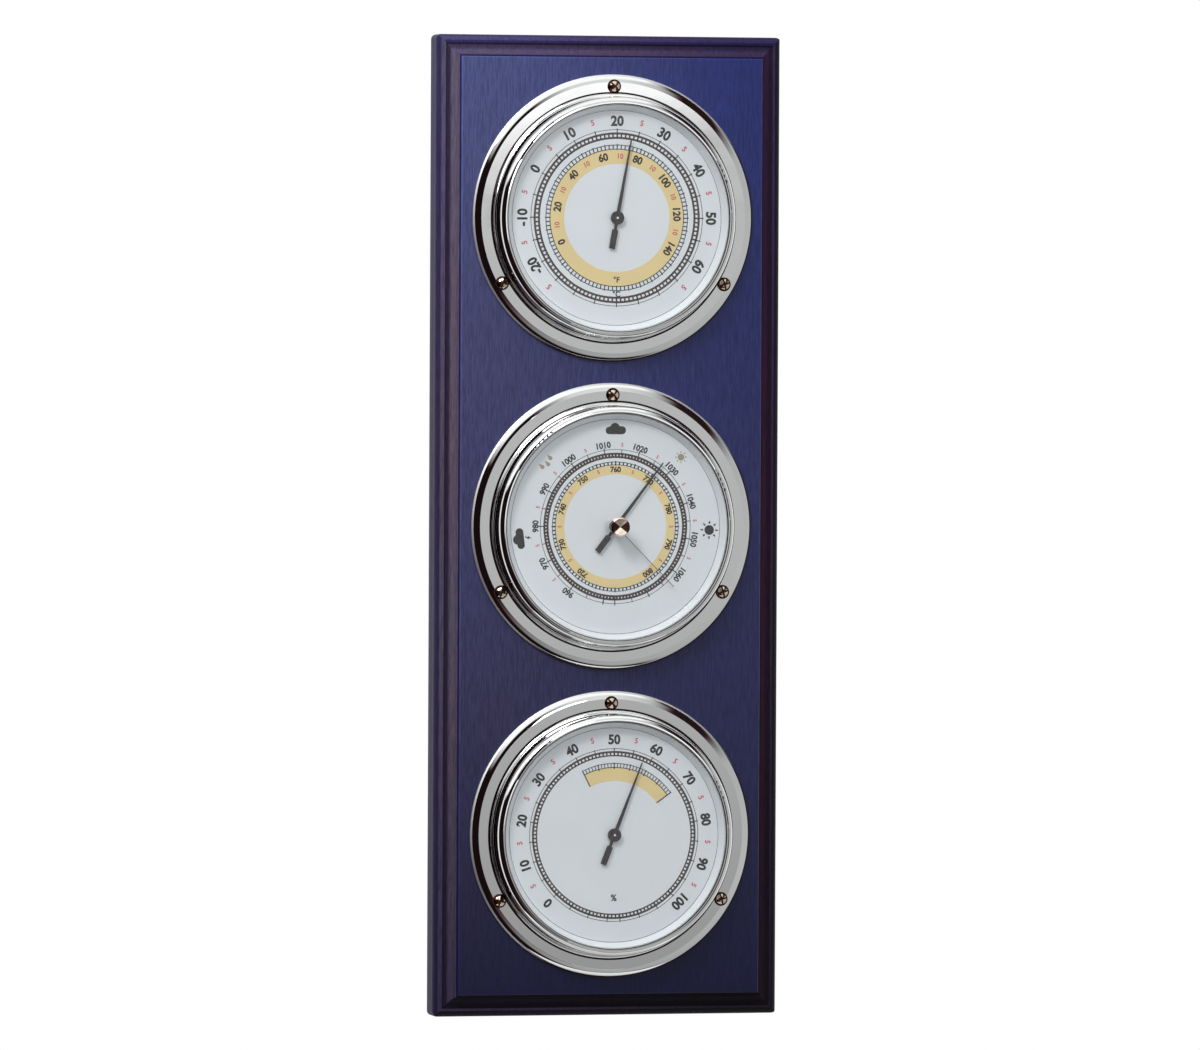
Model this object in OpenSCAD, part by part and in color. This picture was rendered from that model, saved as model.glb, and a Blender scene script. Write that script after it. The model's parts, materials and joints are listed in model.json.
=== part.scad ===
// Wall weather station: a moulded wooden board with three porthole instruments,
// a thermometer at the top, an aneroid barometer in the middle and a hygrometer below.
// Lengths are in millimetres. The origin is the centre of the keyhole in the hanger plate,
// on the wall's surface. X points right for someone facing the board, Y into the wall, Z up.

/* [Board] */
// Bare panel between a flange and the moulding beside it
side_margin = 5.8; // [3:0.1:30]
// Bare panel between an outer flange and the moulding above or below it
end_margin = 8.8; // [5:0.1:60]
// Bare panel between two flanges
flange_gap = 11; // [6:0.5:30]
// Thickness of the board
board_t = 22; // [22:0.5:32]
// Radius of the board's outer corners
corner_r = 2.5; // [1:0.5:8]
// Radius of the rounded bead along the outer edge
bead_r = 4.3; // [3:0.1:5.5]
// Width of the flat groove between bead and cove
quirk_w = 0.7; // [0.3:0.1:1.5]
// Height of the small step from the groove up to the bead
quirk_h = 0.9; // [0.3:0.1:1.5]
// Radius of the hollow cove
cove_r = 5.2; // [3:0.1:6]
// Width of the ledge between the cove and the raised panel
ledge_w = 1.0; // [0.5:0.1:2]
// Height of the raised panel above the ledge
step_h = 1.4; // [0.6:0.1:2.5]
// Small bevel round the raised panel
panel_bevel = 0.35; // [0.1:0.05:0.5]

/* [Hanger] */
// Distance of the keyhole below the board's top edge
hanger_from_top = 22; // [20:0.5:24]
// Diameter of the keyhole's round entry
keyhole_d = 9; // [7:0.5:10]
// Width of the keyhole's slot
keyslot_w = 5; // [4:0.5:6]
// Length of the slot above the entry's centre
keyslot_rise = 9; // [7:0.5:10]
// Width of the hanger plate
hanger_w = 42; // [36:1:50]
// Height of the hanger plate
hanger_h = 22; // [21:0.5:24]
// Thickness of the hanger plate
hanger_t = 1.2; // [1.1:0.1:1.6]
// Depth of the pocket behind the plate, for the wall screw's head
pocket_deep = 6.8; // [5:0.2:7]

/* [Instrument cases] */
// Outer diameter of the case's tube
case_d = 118.4; // [112:0.2:120]
// Wall of the case's tube
case_wall = 1.2; // [0.8:0.1:1.4]
// Wall of the bezel outside the tube
bezel_wall = 2.25; // [1.8:0.05:3]
// How far the bezel's foot stands out from its wall
bezel_foot = 1.6; // [1:0.1:2]
// Height of the bezel's foot
bezel_foot_h = 1.4; // [0.8:0.1:2.5]
// Radius of the bezel's rounded shoulder
shoulder_r = 3; // [1.5:0.1:3.2]
// How far the bezel's lip reaches inward over the glass
aperture_lip = 1.4; // [0.8:0.1:1.8]
// Thickness of the lip over the glass
lip_t = 0.6; // [0.4:0.1:1]
// Width of the flange's flat face
face_w = 5.8; // [5:0.1:7]
// Width of the flange's sloping rim
slope_w = 4; // [2:0.1:5]
// Height of the flange's face above the panel
flange_h = 3.4; // [2.4:0.1:5]
// Height of the flange's outer edge
flange_edge_h = 1.7; // [1:0.1:2.2]
// Height of the dial's face above the panel
dial_h = 9.8; // [9:0.1:11]
// Thickness of a dial
dial_t = 0.8; // [0.5:0.1:1]
// Room between a pointer's hub and the barometer's setting hand
hand_gap = 0.6; // [0.3:0.1:3]
// Thickness of a glass
glass_t = 1.4; // [1:0.1:2]
// Width of the dial ring on the dial
dial_ring_w = 2.9; // [1.5:0.1:5]

/* [Mounting screws] */
// Diameter of a screw's head
screw_head_d = 7.2; // [6:0.1:8]
// Height of a screw's domed head
screw_head_h = 2.2; // [1.6:0.1:2.8]
// Diameter of a screw's shank
screw_d = 3.5; // [2.5:0.1:4]
// Length of a screw's shank
screw_len = 14; // [10:0.5:14]

/* [Pointers] */
// Length of the thermometer's pointer
thermometer_reach = 40.6; // [25:0.2:50]
// Length of the barometer's pointer
barometer_reach = 41; // [25:0.2:50]
// Length of the hygrometer's pointer
hygrometer_reach = 39.8; // [25:0.2:50]
// Length of a pointer's tail
tail_reach = 16; // [12:0.2:22]
// Width of a tail's counterweight
tail_w = 3.1; // [2:0.1:4.5]
// Where the counterweight starts, from the centre
tail_start = 6.2; // [5:0.1:8]
// Diameter of a pointer's hub
hub_d = 6.8; // [4:0.1:8]
// Where the thermometer's pointer stands, in degrees clockwise from the top
thermometer_angle = 10.2; // [-120:0.1:120]
// Where the barometer's pointer stands, in degrees clockwise from the top
barometer_angle = 37.1; // [-130:0.1:112]
// Where the hygrometer's pointer stands, in degrees clockwise from the top
hygrometer_angle = 21.3; // [-130:0.1:130]
// Where the setting hand points, in degrees clockwise from the top
setting_angle = 135.5; // [0:0.5:360]
// Length of the setting hand
setting_reach = 43; // [30:0.5:50]
// Diameter of the setting knob
knob_d = 9.9; // [8:0.1:14]
// Height of the setting knob
knob_h = 6.2; // [4:0.1:10]

/* [Movements] */
// Module of the gears
gear_module = 0.4; // [0.38:0.01:0.42]
// Teeth that a whole wheel of the sector's size would have
sector_teeth = 120; // [110:10:130]
// Teeth of the pinion
pinion_teeth = 12; // [11:1:13]
// Radius of the circle of the four tie screws
tie_circle = 30; // [29:0.5:31]
// Diameter of the aneroid capsule
capsule_d = 34; // [26:1:35]
// Thickness of the aneroid capsule
capsule_t = 5; // [4:0.2:5.4]
// Turns of the thermometer's bimetal coil
coil_turns = 5; // [3:1:6]
// Turns of a hairspring
hair_turns = 4; // [3:1:5]

/* [Hidden] */
$fn = 72;

// Clearances, and the overrun of every cut
over = 1;
run_gap = 0.05;
press_gap = 0.02;
slip_gap = 0.15;
loose_gap = 0.3;

// Colours
wood = "midnightblue";
chrome = "lightgray";
brass = "goldenrod";
steel = "silver";
black = "black";
paper = "whitesmoke";

// Board: depths are below the raised panel
cove_floor = step_h + cove_r;
bead_top = cove_floor - quirk_h;
bead_axis = bead_top + bead_r;
mould_w = bead_r + quirk_w + cove_r + ledge_w;
hole_gap = 0.8;
mitre_over = 0.02;

// Hanger plate and the pocket behind it
hanger_edge = 2;
hanger_low = keyhole_d/2 + hanger_edge;
hanger_mid_z = hanger_h/2 - hanger_low;
hanger_corner = 2;
hanger_screw_inset = 4.5;
hanger_screw_x = hanger_w/2 - hanger_screw_inset;
hanger_screw_d = 2.6;
hanger_screw_head_d = 4.6;
hanger_screw_len = 9;
hanger_screw_bevel = (hanger_screw_head_d - hanger_screw_d)/2;
hanger_cross_w = 0.6;
hanger_cross_deep = 0.7;
pocket_edge = 1;
pocket_side = 2;
pocket_w = keyhole_d + 2*pocket_side;
pocket_l = hanger_h - 2*pocket_edge;

// Radii of a case, from the tube outward and inward
case_r = case_d/2;
bore_r = case_r - case_wall;
bezel_bore_r = case_r + slip_gap;
bezel_wall_r = bezel_bore_r + bezel_wall;
bezel_draft = 0.8;
bezel_foot_r = bezel_wall_r + bezel_foot;
foot_round = 0.6;
face_r = bezel_foot_r + face_w;
flange_r = face_r + slope_w;
aperture_r = case_r - aperture_lip;
dial_r = bore_r - slip_gap;
ring_foot_r = dial_r - dial_ring_w;
ring_top_w = 0.6;

// The board's outline follows the instruments
board_hole_r = case_r + hole_gap;
pitch = 2*flange_r + flange_gap;
board_w = 2*(flange_r + side_margin + mould_w);
board_h = 2*(pitch + flange_r + end_margin + mould_w);
board_mid_z = hanger_from_top - board_h/2;

// Heights over a dial, from the pointer up to the glass
pointer_lift = 1.2;
pointer_t = 0.4;
hub_under = 0.4;
hub_over = 0.6;
nose_over = 0.1;
setting_boss_t = 0.7;
glass_gap = 0.2;
pointer_z = dial_h + pointer_lift;
hub_z = pointer_z - hub_under;
hub_top = pointer_z + pointer_t + hub_over;
setting_hand_z = hub_top + nose_over + hand_gap;
glass_z = setting_hand_z + setting_boss_t + glass_gap;

// Heights of a case, from the panel towards the viewer
lip_z = glass_z + glass_t;
rim_z = lip_z + lip_t;
dial_back_z = dial_h - dial_t;
seat_h = 2.5;
seat_w = 2.6;
cover_t = 0.8;
wall_gap = 0.6;
cover_z = wall_gap + cover_t - board_t;
skirt_h = 3;
skirt_t = 0.8;
skirt_r = bore_r - slip_gap;
vent_d = 3;
vent_inset = 14;
vent_circle = bore_r - vent_inset;
vent_count = 6;
access_r = 2.9;

// Mounting screws
screw_circle = bezel_foot_r + slip_gap + screw_head_d/2;
screw_angles = [90, 210, 330];
cross_w = 0.9;
cross_deep = 1.1;
cross_share = 0.72;

// Heights of a movement, hung from the dial
foot_h = 3;
bridge_t = 1;
arbor_room = 5;
plate_t = 1.2;
bridge_front_z = dial_back_z - foot_h;
bridge_z = bridge_front_z - bridge_t;
plate_z = bridge_z - arbor_room;
plate_back_z = plate_z - plate_t;
base_room = 1.8;
base_z = cover_z + base_room;
base_front_z = base_z + plate_t;

// Ties: a spacer tube with a screw through it at each of four corners
tie_angles = [45, 135, 225, 315];
plate_edge = 5;
plate_r = tie_circle + plate_edge;
tie_d = 2;
spacer_d = 4.4;
tie_head_d = 3.8;
tie_head_h = 1.2;
tie_slot_w = 0.6;
tie_slot_deep = 0.6;
tie_bite = 2;
tie_end_gap = 0.5;

// Bridge
bridge_arm_w = 7;
bridge_hub_r = 6;
bridge_boss_r = 4;

// Gears
pressure_angle = 25;
addendum = 0.8*gear_module;
dedendum = gear_module;
backlash = 0.2*gear_module;
centre_gap = gear_module*(sector_teeth + pinion_teeth)/2;
sector_r = gear_module*sector_teeth/2;
ratio = sector_teeth/pinion_teeth;
sector_lift = 1;
sector_z = plate_z + sector_lift;
sector_t = 1;
pinion_extra = 0.4;
sector_rim_w = 3;
sector_hub_r = 3.2;
sector_arm_w = 2.4;
sector_spare = 6;
flank_steps = 5;

// Arbors and hairsprings
arbor_r = 0.75;
pivot_r = 0.5;
pivot_root = 1;
arbor_gap = 0.2;
nose_r = 0.6;
dial_hole_r = 3;
collet_r = 1.4;
collet_over = 0.2;
hair_lift = 3.4;
hair_z = plate_z + hair_lift;
hair_t = 0.2;
hair_w = 0.5;
hair_pitch = 0.7;
hair_start_r = collet_r + hair_t/2;
hair_stud_r = 0.4;
hair_stud_x = hair_start_r + hair_turns*hair_pitch + hair_t/2 + hair_stud_r;
spiral_steps = 24;

// Pointers
pointer_root_w = 2;
pointer_tip_w = 0.6;
neck_w = 1.5;
neck_over = 1;

// Ends of the scales, in degrees clockwise from the top, and the turn left to each sector
barometer_low_angle = -143.8;
barometer_high_angle = 126.2;
hygrometer_end_angle = 135;
barometer_up = (barometer_high_angle - barometer_angle)/ratio;
barometer_down = (barometer_angle - barometer_low_angle)/ratio;
hygrometer_up = (hygrometer_end_angle - hygrometer_angle)/ratio;
hygrometer_down = (hygrometer_end_angle + hygrometer_angle)/ratio;

// Thermometer's coil
coil_t = 0.8;
coil_w = 3.6;
coil_lift = 0.7;
coil_z = plate_z + coil_lift;
coil_start_r = 2.6;
coil_end_r = 15;
coil_pitch = (coil_end_r - coil_start_r)/coil_turns;
coil_collet_r = coil_start_r - coil_t/2;
coil_post_r = 1;
coil_post_x = coil_end_r + coil_t/2 + coil_post_r;

// Barometer's capsule, its post and its main spring
stud_h = 1.2;
stud_r = 2;
capsule_z = base_front_z + stud_h;
capsule_front_z = capsule_z + capsule_t;
capsule_rim_t = 1.4;
capsule_rim_w = 1.4;
capsule_waves = 4;
capsule_wave_h = 0.5;
capsule_boss_r = 4;
capsule_flat = capsule_d/2 - capsule_rim_w - capsule_boss_r;
wave_steps = 8;
post_r = 1;
post_tip = 0.3;
nut_r = 2.2;
nut_t = 0.5;
spring_t = 0.5;
spring_w = 8;
spring_z = capsule_front_z + nut_t + loose_gap;
spring_reach = 25;
spring_tail = 2;
spring_tip = 3;
spring_hole_r = post_r + loose_gap;
collar_r = 1.9;
collar_z = spring_z + spring_t + run_gap;
collar_t = 0.45;
post_top_z = collar_z + collar_t + post_tip;
block_w = 6;
block_l = 4;
adjusting_r = 1.6;
adjusting_head_r = 2.6;
adjusting_head_h = 1.3;
adjusting_slot_w = 0.8;
adjusting_slot_deep = 0.7;

// Barometer's drive: a rocker lies across the capsule in two lugs and pushes the sector's pin
short_arm_t = 1;
rocker_y = -3;
rocker_z = post_top_z + loose_gap + short_arm_t/2;
rocker_r = 1;
rocker_end = 0.5;
sector_pin_r = 0.5;
sector_pin_lever = 5.1;
sector_pin_deep = 1.9;
sector_pin_x = sector_pin_lever - centre_gap;
long_arm_w = 2.4;
long_arm_t = 1;
long_arm_under = 0.3;
sector_pin_y = rocker_y + long_arm_t/2 + slip_gap + sector_pin_r;
short_arm_w = 2.4;
short_arm_over = 0.8;
lug_t = 2;
lug_w = 6;
lug_top = 3;
lug_clear = 3;
lug_side = 1;
lug_right_x = capsule_d/2 + lug_clear;
lug_left_x = sector_pin_x - long_arm_w/2 - lug_side - lug_t;
slot_w = 4.6;
slot_below = 3;
slot_above = 4;

// Setting hand, its knob and the bush in the glass
bush_r = 2.5;
bush_bore_r = 1.25;
bush_flange_r = 3.6;
bush_flange_t = 0.7;
setting_shaft_r = bush_bore_r - run_gap;
setting_hand_t = 0.3;
setting_hand_w = 0.35;
setting_boss_r = 2.2;
knob_z = lip_z + bush_flange_t + loose_gap;
knob_neck_share = 0.62;
knob_neck_h = 1.8;
knob_round = 0.8;
knob_dish = 0.9;

// Hygrometer's fibre, from the sector's tail pin to an eccentric on an arm of the back plate
tail_lever = 3;
tail_pin_x = -centre_gap - tail_lever;
tail_pin_r = 0.5;
tail_pin_deep = 0.7;
fibre_r = 0.25;
fibre_drop = 0.45;
fibre_z = sector_z - fibre_drop;
adjuster_inset = 5.5;
adjuster_y = -sqrt(pow(bore_r - adjuster_inset, 2) - pow(tail_pin_x, 2));
adjuster_r = 1.5;
adjuster_head_r = 2.4;
adjuster_head_h = 1.2;
adjuster_pin_r = 0.6;
adjuster_throw = 0.6;
adjuster_pin_h = 1.4;
fibre_arm_w = 8;

// Frame of one instrument: x right, y up and z towards the viewer, from the panel's face
module at_station(k) {
    translate([0, -board_t, board_mid_z + k*pitch]) rotate([90, 0, 0]) children();
}

module at_ties() {
    for (a = tie_angles) rotate([0, 0, a]) translate([tie_circle, 0, 0]) children();
}

module at_screws() {
    for (a = screw_angles) rotate([0, 0, a]) translate([screw_circle, 0, 0]) children();
}

// A disc between two heights, or a tube where it has an inner radius
module disc(r, z0, z1, inner = 0) {
    translate([0, 0, z0]) difference() {
        cylinder(r = r, h = z1 - z0);
        if (inner > 0) translate([0, 0, -over]) cylinder(r = inner, h = z1 - z0 + 2*over);
    }
}

// A cut through everything between two heights
module hole(r, z0, z1) {
    translate([0, 0, z0 - over]) cylinder(r = r, h = z1 - z0 + 2*over);
}

// A cross recess cut down from z = 0
module cross(reach, w, deep) {
    for (a = [0, 90]) rotate([0, 0, a])
        translate([-reach, -w/2, -deep]) cube([2*reach, w, deep + over]);
}

module round_rect(w, h, r) {
    square([w - 2*r, h], center = true);
    square([w, h - 2*r], center = true);
    for (x = [-1, 1], y = [-1, 1]) translate([x*(w/2 - r), y*(h/2 - r)]) circle(r = r);
}

// Section of what the moulding takes away: x inward from the edge, y up from the panel
module mould_section() {
    difference() {
        translate([-over, -bead_axis]) square([over + bead_r, bead_axis + over]);
        translate([bead_r, -bead_axis]) circle(r = bead_r);
    }
    translate([bead_r, -cove_floor]) square([quirk_w, cove_floor + over]);
    intersection() {
        translate([bead_r + quirk_w, -step_h]) circle(r = cove_r);
        translate([bead_r + quirk_w, -cove_floor]) square([cove_r, cove_r]);
    }
    translate([bead_r, -step_h]) square([mould_w - bead_r, step_h + over]);
    polygon([[mould_w, -panel_bevel], [mould_w + panel_bevel + over, over],
             [mould_w - over, over], [mould_w - over, -panel_bevel]]);
}

// The cut along one edge, which lies at y = -depth and is len long, mitred at both ends a
// little past the corner's diagonal
module mould_cut(len, depth) {
    reach = mould_w + panel_bevel + 2*over;
    low = len/2 + over + mitre_over;
    high = len/2 - reach + mitre_over;
    intersection() {
        translate([-len/2 - over, -depth, 0]) rotate([90, 0, 90])
            linear_extrude(len + 2*over) mould_section();
        translate([0, 0, -bead_axis - over]) linear_extrude(bead_axis + 3*over) polygon([
            [-low, -depth - over], [low, -depth - over],
            [high, reach - depth], [-high, reach - depth]]);
    }
}

module board() color(wood) difference() {
    at_station(0) difference() {
        translate([0, 0, -board_t]) linear_extrude(board_t) round_rect(board_w, board_h, corner_r);
        for (a = [0, 180]) rotate([0, 0, a]) {
            mould_cut(board_w, board_h/2);
            rotate([0, 0, 90]) mould_cut(board_h, board_w/2);
        }
        for (k = [-1:1]) translate([0, k*pitch, 0]) {
            hole(board_hole_r, -board_t, 0);
            at_screws() hole(screw_d/2 + press_gap, flange_h - screw_len, 0);
        }
    }
    translate([0, 0, hanger_mid_z]) rotate([90, 0, 0]) {
        translate([0, 0, -over]) linear_extrude(hanger_t + over)
            round_rect(hanger_w + 2*run_gap, hanger_h + 2*run_gap, hanger_corner + run_gap);
        translate([-pocket_w/2, -pocket_l/2, hanger_t - over])
            cube([pocket_w, pocket_l, pocket_deep + over]);
        for (x = [-1, 1]) translate([x*hanger_screw_x, 0, 0])
            hole(hanger_screw_d/2 + press_gap, 0, hanger_screw_len - over);
    }
}

// The plate is let in flush with the board's back; a wall screw's head goes in at the round
// entry and its shank slides up into the slot
module hanger_plate() color(steel) difference() {
    translate([0, 0, hanger_mid_z]) rotate([90, 0, 0]) difference() {
        linear_extrude(hanger_t) round_rect(hanger_w, hanger_h, hanger_corner);
        for (x = [-1, 1]) translate([x*hanger_screw_x, 0, 0]) hanger_screw(run_gap);
    }
    rotate([90, 0, 0]) {
        hole(keyhole_d/2, 0, hanger_t);
        translate([-keyslot_w/2, 0, -over]) cube([keyslot_w, keyslot_rise, hanger_t + 2*over]);
        translate([0, keyslot_rise, 0]) hole(keyslot_w/2, 0, hanger_t);
    }
}

// A countersunk screw with its head flush with z = 0, grown by a gap
module hanger_screw(gap) {
    rotate_extrude() polygon([
        [0, -gap], [hanger_screw_head_d/2 + gap, -gap], [hanger_screw_head_d/2 + gap, 0],
        [hanger_screw_d/2 + gap, hanger_screw_bevel], [hanger_screw_d/2 + gap, hanger_screw_len],
        [0, hanger_screw_len]]);
}

module hanger_screws() color(steel) translate([0, 0, hanger_mid_z]) rotate([90, 0, 0])
    for (x = [-1, 1]) translate([x*hanger_screw_x, 0, 0]) difference() {
        hanger_screw(0);
        mirror([0, 0, 1]) cross(hanger_screw_head_d*cross_share/2, hanger_cross_w, hanger_cross_deep);
    }

// A mounting screw: domed head with a cross recess, standing on the flange's face
module mounting_screw() {
    dome_r = (pow(screw_head_d/2, 2) + pow(screw_head_h, 2))/(2*screw_head_h);
    translate([0, 0, flange_h]) difference() {
        union() {
            intersection() {
                translate([0, 0, screw_head_h - dome_r]) sphere(r = dome_r);
                cylinder(r = screw_head_d, h = screw_head_d);
            }
            translate([0, 0, -screw_len]) cylinder(r = screw_d/2, h = screw_len + screw_head_h/2);
        }
        translate([0, 0, screw_head_h]) cross(screw_head_d*cross_share/2, cross_w, cross_deep);
    }
}

module mounting_screws() color(brass)
    for (k = [-1:1]) at_station(k) at_screws() rotate([0, 0, 45]) mounting_screw();

// The flange and the tube through the board, in one piece, with the dial's seat inside
module case() color(chrome) difference() {
    rotate_extrude($fn = 180) polygon([
        [bore_r, cover_z], [case_r, cover_z], [case_r, 0], [flange_r, 0],
        [flange_r, flange_edge_h], [face_r, flange_h], [case_r, flange_h], [case_r, glass_z],
        [bore_r, glass_z], [bore_r, dial_back_z], [bore_r - seat_w, dial_back_z],
        [bore_r - seat_w, dial_back_z - seat_h], [bore_r, dial_back_z - seat_h - seat_w]]);
    at_screws() hole(screw_d/2 + slip_gap, 0, flange_h);
}

// The bezel: foot, drafted wall and round shoulder up to the lip over the glass
module bezel() color(chrome) rotate_extrude($fn = 180) difference() {
    union() {
        translate([aperture_r, flange_h])
            square([bezel_foot_r - aperture_r - foot_round, bezel_foot_h]);
        translate([aperture_r, flange_h])
            square([bezel_foot_r - aperture_r, bezel_foot_h - foot_round]);
        translate([bezel_foot_r - foot_round, flange_h + bezel_foot_h - foot_round])
            circle(r = foot_round);
        polygon([[aperture_r, flange_h], [bezel_wall_r + bezel_draft, flange_h],
                 [bezel_wall_r, rim_z - shoulder_r], [aperture_r, rim_z - shoulder_r]]);
        intersection() {
            translate([bezel_wall_r - shoulder_r, rim_z - shoulder_r]) circle(r = shoulder_r);
            translate([bezel_wall_r - shoulder_r, rim_z - shoulder_r])
                square([shoulder_r + over, shoulder_r + over]);
        }
        translate([aperture_r, rim_z - shoulder_r])
            square([bezel_wall_r - shoulder_r - aperture_r, shoulder_r]);
    }
    translate([0, flange_h - over]) square([bezel_bore_r, lip_z - flange_h + over]);
}

module glass(opening = 0) color("lightcyan", 0.4) disc(case_r, glass_z, lip_z, opening);

module dial_ring() color(paper) rotate_extrude($fn = 180) polygon([
    [ring_foot_r, dial_h], [dial_r, dial_h], [dial_r, glass_z], [dial_r - ring_top_w, glass_z]]);

// The dial with its four feet, which the tie screws screw into
module dial() color(paper) difference() {
    union() {
        disc(dial_r, dial_back_z, dial_h);
        at_ties() disc(spacer_d/2, bridge_front_z, dial_back_z + dial_t/2);
    }
    hole(dial_hole_r, dial_back_z, dial_h);
    at_ties() hole(tie_d/2 + run_gap, bridge_front_z, bridge_front_z + tie_bite - over);
}

// Back cover with its vents, and where an adjuster is reached from behind a hole for it
module back_cover(access = []) color(steel) difference() {
    union() {
        disc(case_r, cover_z - cover_t, cover_z);
        disc(skirt_r, cover_z - cover_t/2, cover_z + skirt_h, skirt_r - skirt_t);
    }
    for (i = [1:vent_count]) rotate([0, 0, 360*(i - 1/2)/vent_count])
        translate([vent_circle, 0, 0]) hole(vent_d/2, cover_z - cover_t, cover_z);
    for (p = access) translate([p[0], p[1], 0]) hole(access_r, cover_z - cover_t, cover_z);
}

// A round plate of the movement with the four tie holes
module plate(z0, z1) {
    difference() {
        disc(plate_r, z0, z1);
        at_ties() hole(tie_d/2 + run_gap, z0, z1);
    }
}

// The bridge: four arms from the hub, and on a geared movement one more to the sector's pivot
// and a stud for the hairspring's outer end
module front_bridge(geared = true) color(brass) difference() {
    union() {
        translate([0, 0, bridge_z]) linear_extrude(bridge_t) {
            circle(r = bridge_hub_r);
            for (a = tie_angles) rotate(a) {
                translate([0, -bridge_arm_w/2]) square([tie_circle, bridge_arm_w]);
                translate([tie_circle, 0]) circle(r = bridge_boss_r);
            }
            if (geared) {
                translate([-centre_gap, -bridge_arm_w/2]) square([centre_gap, bridge_arm_w]);
                translate([-centre_gap, 0]) circle(r = bridge_boss_r);
            }
        }
        if (geared) translate([hair_stud_x, 0, 0]) disc(hair_stud_r, hair_z, bridge_front_z);
    }
    at_ties() hole(tie_d/2 + run_gap, bridge_z, bridge_front_z);
    hole(arbor_r + run_gap, bridge_z, bridge_front_z);
    if (geared) translate([-centre_gap, 0, 0]) hole(pivot_r + run_gap, bridge_z, bridge_front_z);
}

module spacers(with_base = false) color(brass) at_ties() {
    disc(spacer_d/2, plate_z, bridge_z, tie_d/2 + run_gap);
    if (with_base) disc(spacer_d/2, base_front_z, plate_back_z, tie_d/2 + run_gap);
}

// Screws from behind the rearmost plate through the spacers into the dial's feet
module ties(z0) color(steel) at_ties() difference() {
    union() {
        disc(tie_head_d/2, z0 - tie_head_h, z0);
        disc(tie_d/2, z0 - tie_head_h/2, bridge_front_z + tie_bite - tie_end_gap);
    }
    translate([-tie_head_d, -tie_slot_w/2, z0 - tie_head_h - over])
        cube([2*tie_head_d, tie_slot_w, tie_slot_deep + over]);
}

// Involute teeth: the half width of a tooth at radius r, in degrees
function polar(r, a) = [r*cos(a), r*sin(a)];
function involute(base, r) = let (a = acos(min(1, base/r))) tan(a)*180/PI - a;
function tooth_half(teeth, r) =
    let (pitch_r = gear_module*teeth/2, base = pitch_r*cos(pressure_angle))
    90/teeth - backlash/4/pitch_r*180/PI + involute(base, pitch_r) - involute(base, r);

// One tooth's outline centred on angle at, lower flank first
function tooth(teeth, at) =
    let (pitch_r = gear_module*teeth/2, base = pitch_r*cos(pressure_angle),
         root = pitch_r - dedendum, low = max(base, root), top = pitch_r + addendum,
         radii = [for (i = [0:flank_steps]) low + (top - low)*i/flank_steps],
         foot = low > root ? [root] : [])
    concat(
        [for (r = foot) polar(r, at - tooth_half(teeth, low))],
        [for (r = radii) polar(r, at - tooth_half(teeth, r))],
        [for (i = [flank_steps:-1:0]) polar(radii[i], at + tooth_half(teeth, radii[i]))],
        [for (r = foot) polar(r, at + tooth_half(teeth, low))]);

// The pinion, with a gap between two teeth facing the sector
module pinion_gear() {
    linear_extrude(sector_t + 2*pinion_extra) polygon([
        for (i = [0:pinion_teeth - 1]) each tooth(pinion_teeth, 180 + (i + 1/2)*360/pinion_teeth)]);
}

// The sector: a toothed rim from one angle to another, two arms and a hub round its own pivot
module sector_wheel(low, high) {
    step = 360/sector_teeth;
    first = floor(low/step);
    last = ceil(high/step);
    inner = sector_r - dedendum - sector_rim_w;
    linear_extrude(sector_t) {
        polygon(concat(
            [for (i = [first:last]) each tooth(sector_teeth, i*step)],
            [for (i = [last:-1:first]) polar(inner, i*step)]));
        for (a = [(first + 1)*step, (last - 1)*step]) rotate(a)
            translate([0, -sector_arm_w/2]) square([inner + sector_rim_w/2, sector_arm_w]);
        circle(r = sector_hub_r);
    }
}

// A straight arbor between plate and bridge with a pivot in each
module plain_arbor() {
    disc(arbor_r, plate_z + arbor_gap, bridge_z - arbor_gap);
    disc(pivot_r, plate_back_z, bridge_front_z);
}

// The pointer's arbor runs on through the bridge and the dial into the pointer's hub
module pointer_arbor() {
    disc(arbor_r, plate_z + arbor_gap, bridge_front_z + arbor_gap);
    disc(pivot_r, plate_back_z, plate_z + pivot_root);
    disc(nose_r, bridge_front_z, hub_top + nose_over);
}

// Outline of a flat spiral strip from radius r0 outward
function spiral(r0, step, turns, t) = let (n = spiral_steps*turns) concat(
    [for (i = [0:n]) polar(r0 + step*i/spiral_steps + t/2, 360*i/spiral_steps)],
    [for (i = [n:-1:0]) polar(r0 + step*i/spiral_steps - t/2, 360*i/spiral_steps)]);

module pointer(reach) {
    translate([0, 0, pointer_z]) linear_extrude(pointer_t) difference() {
        union() {
            polygon([[-pointer_root_w/2, 0], [-pointer_tip_w/2, reach - pointer_tip_w],
                     [0, reach], [pointer_tip_w/2, reach - pointer_tip_w], [pointer_root_w/2, 0]]);
            translate([-neck_w/2, -tail_start - neck_over]) square([neck_w, tail_start + neck_over]);
            translate([-tail_w/2, -tail_reach]) square([tail_w, tail_reach - tail_start]);
        }
        circle(r = nose_r + press_gap);
    }
    disc(hub_d/2, hub_z, hub_top, nose_r + press_gap);
}

// A pointer is drawn at the reading shown, clockwise from the top
module turned(angle) {
    rotate([0, 0, -angle]) children();
}

// Thermometer
module thermometer_back_plate() color(brass) difference() {
    union() {
        plate(plate_back_z, plate_z);
        translate([coil_post_x, 0, 0]) disc(coil_post_r, plate_back_z, coil_z + coil_w);
    }
    hole(pivot_r + run_gap, plate_back_z, plate_z);
}

module thermometer_arbor() color(steel) {
    pointer_arbor();
    disc(coil_collet_r, coil_z, coil_z + coil_w);
}

module thermometer_coil() color(brass) translate([0, 0, coil_z]) linear_extrude(coil_w)
    polygon(spiral(coil_start_r, coil_pitch, coil_turns, coil_t));

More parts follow.
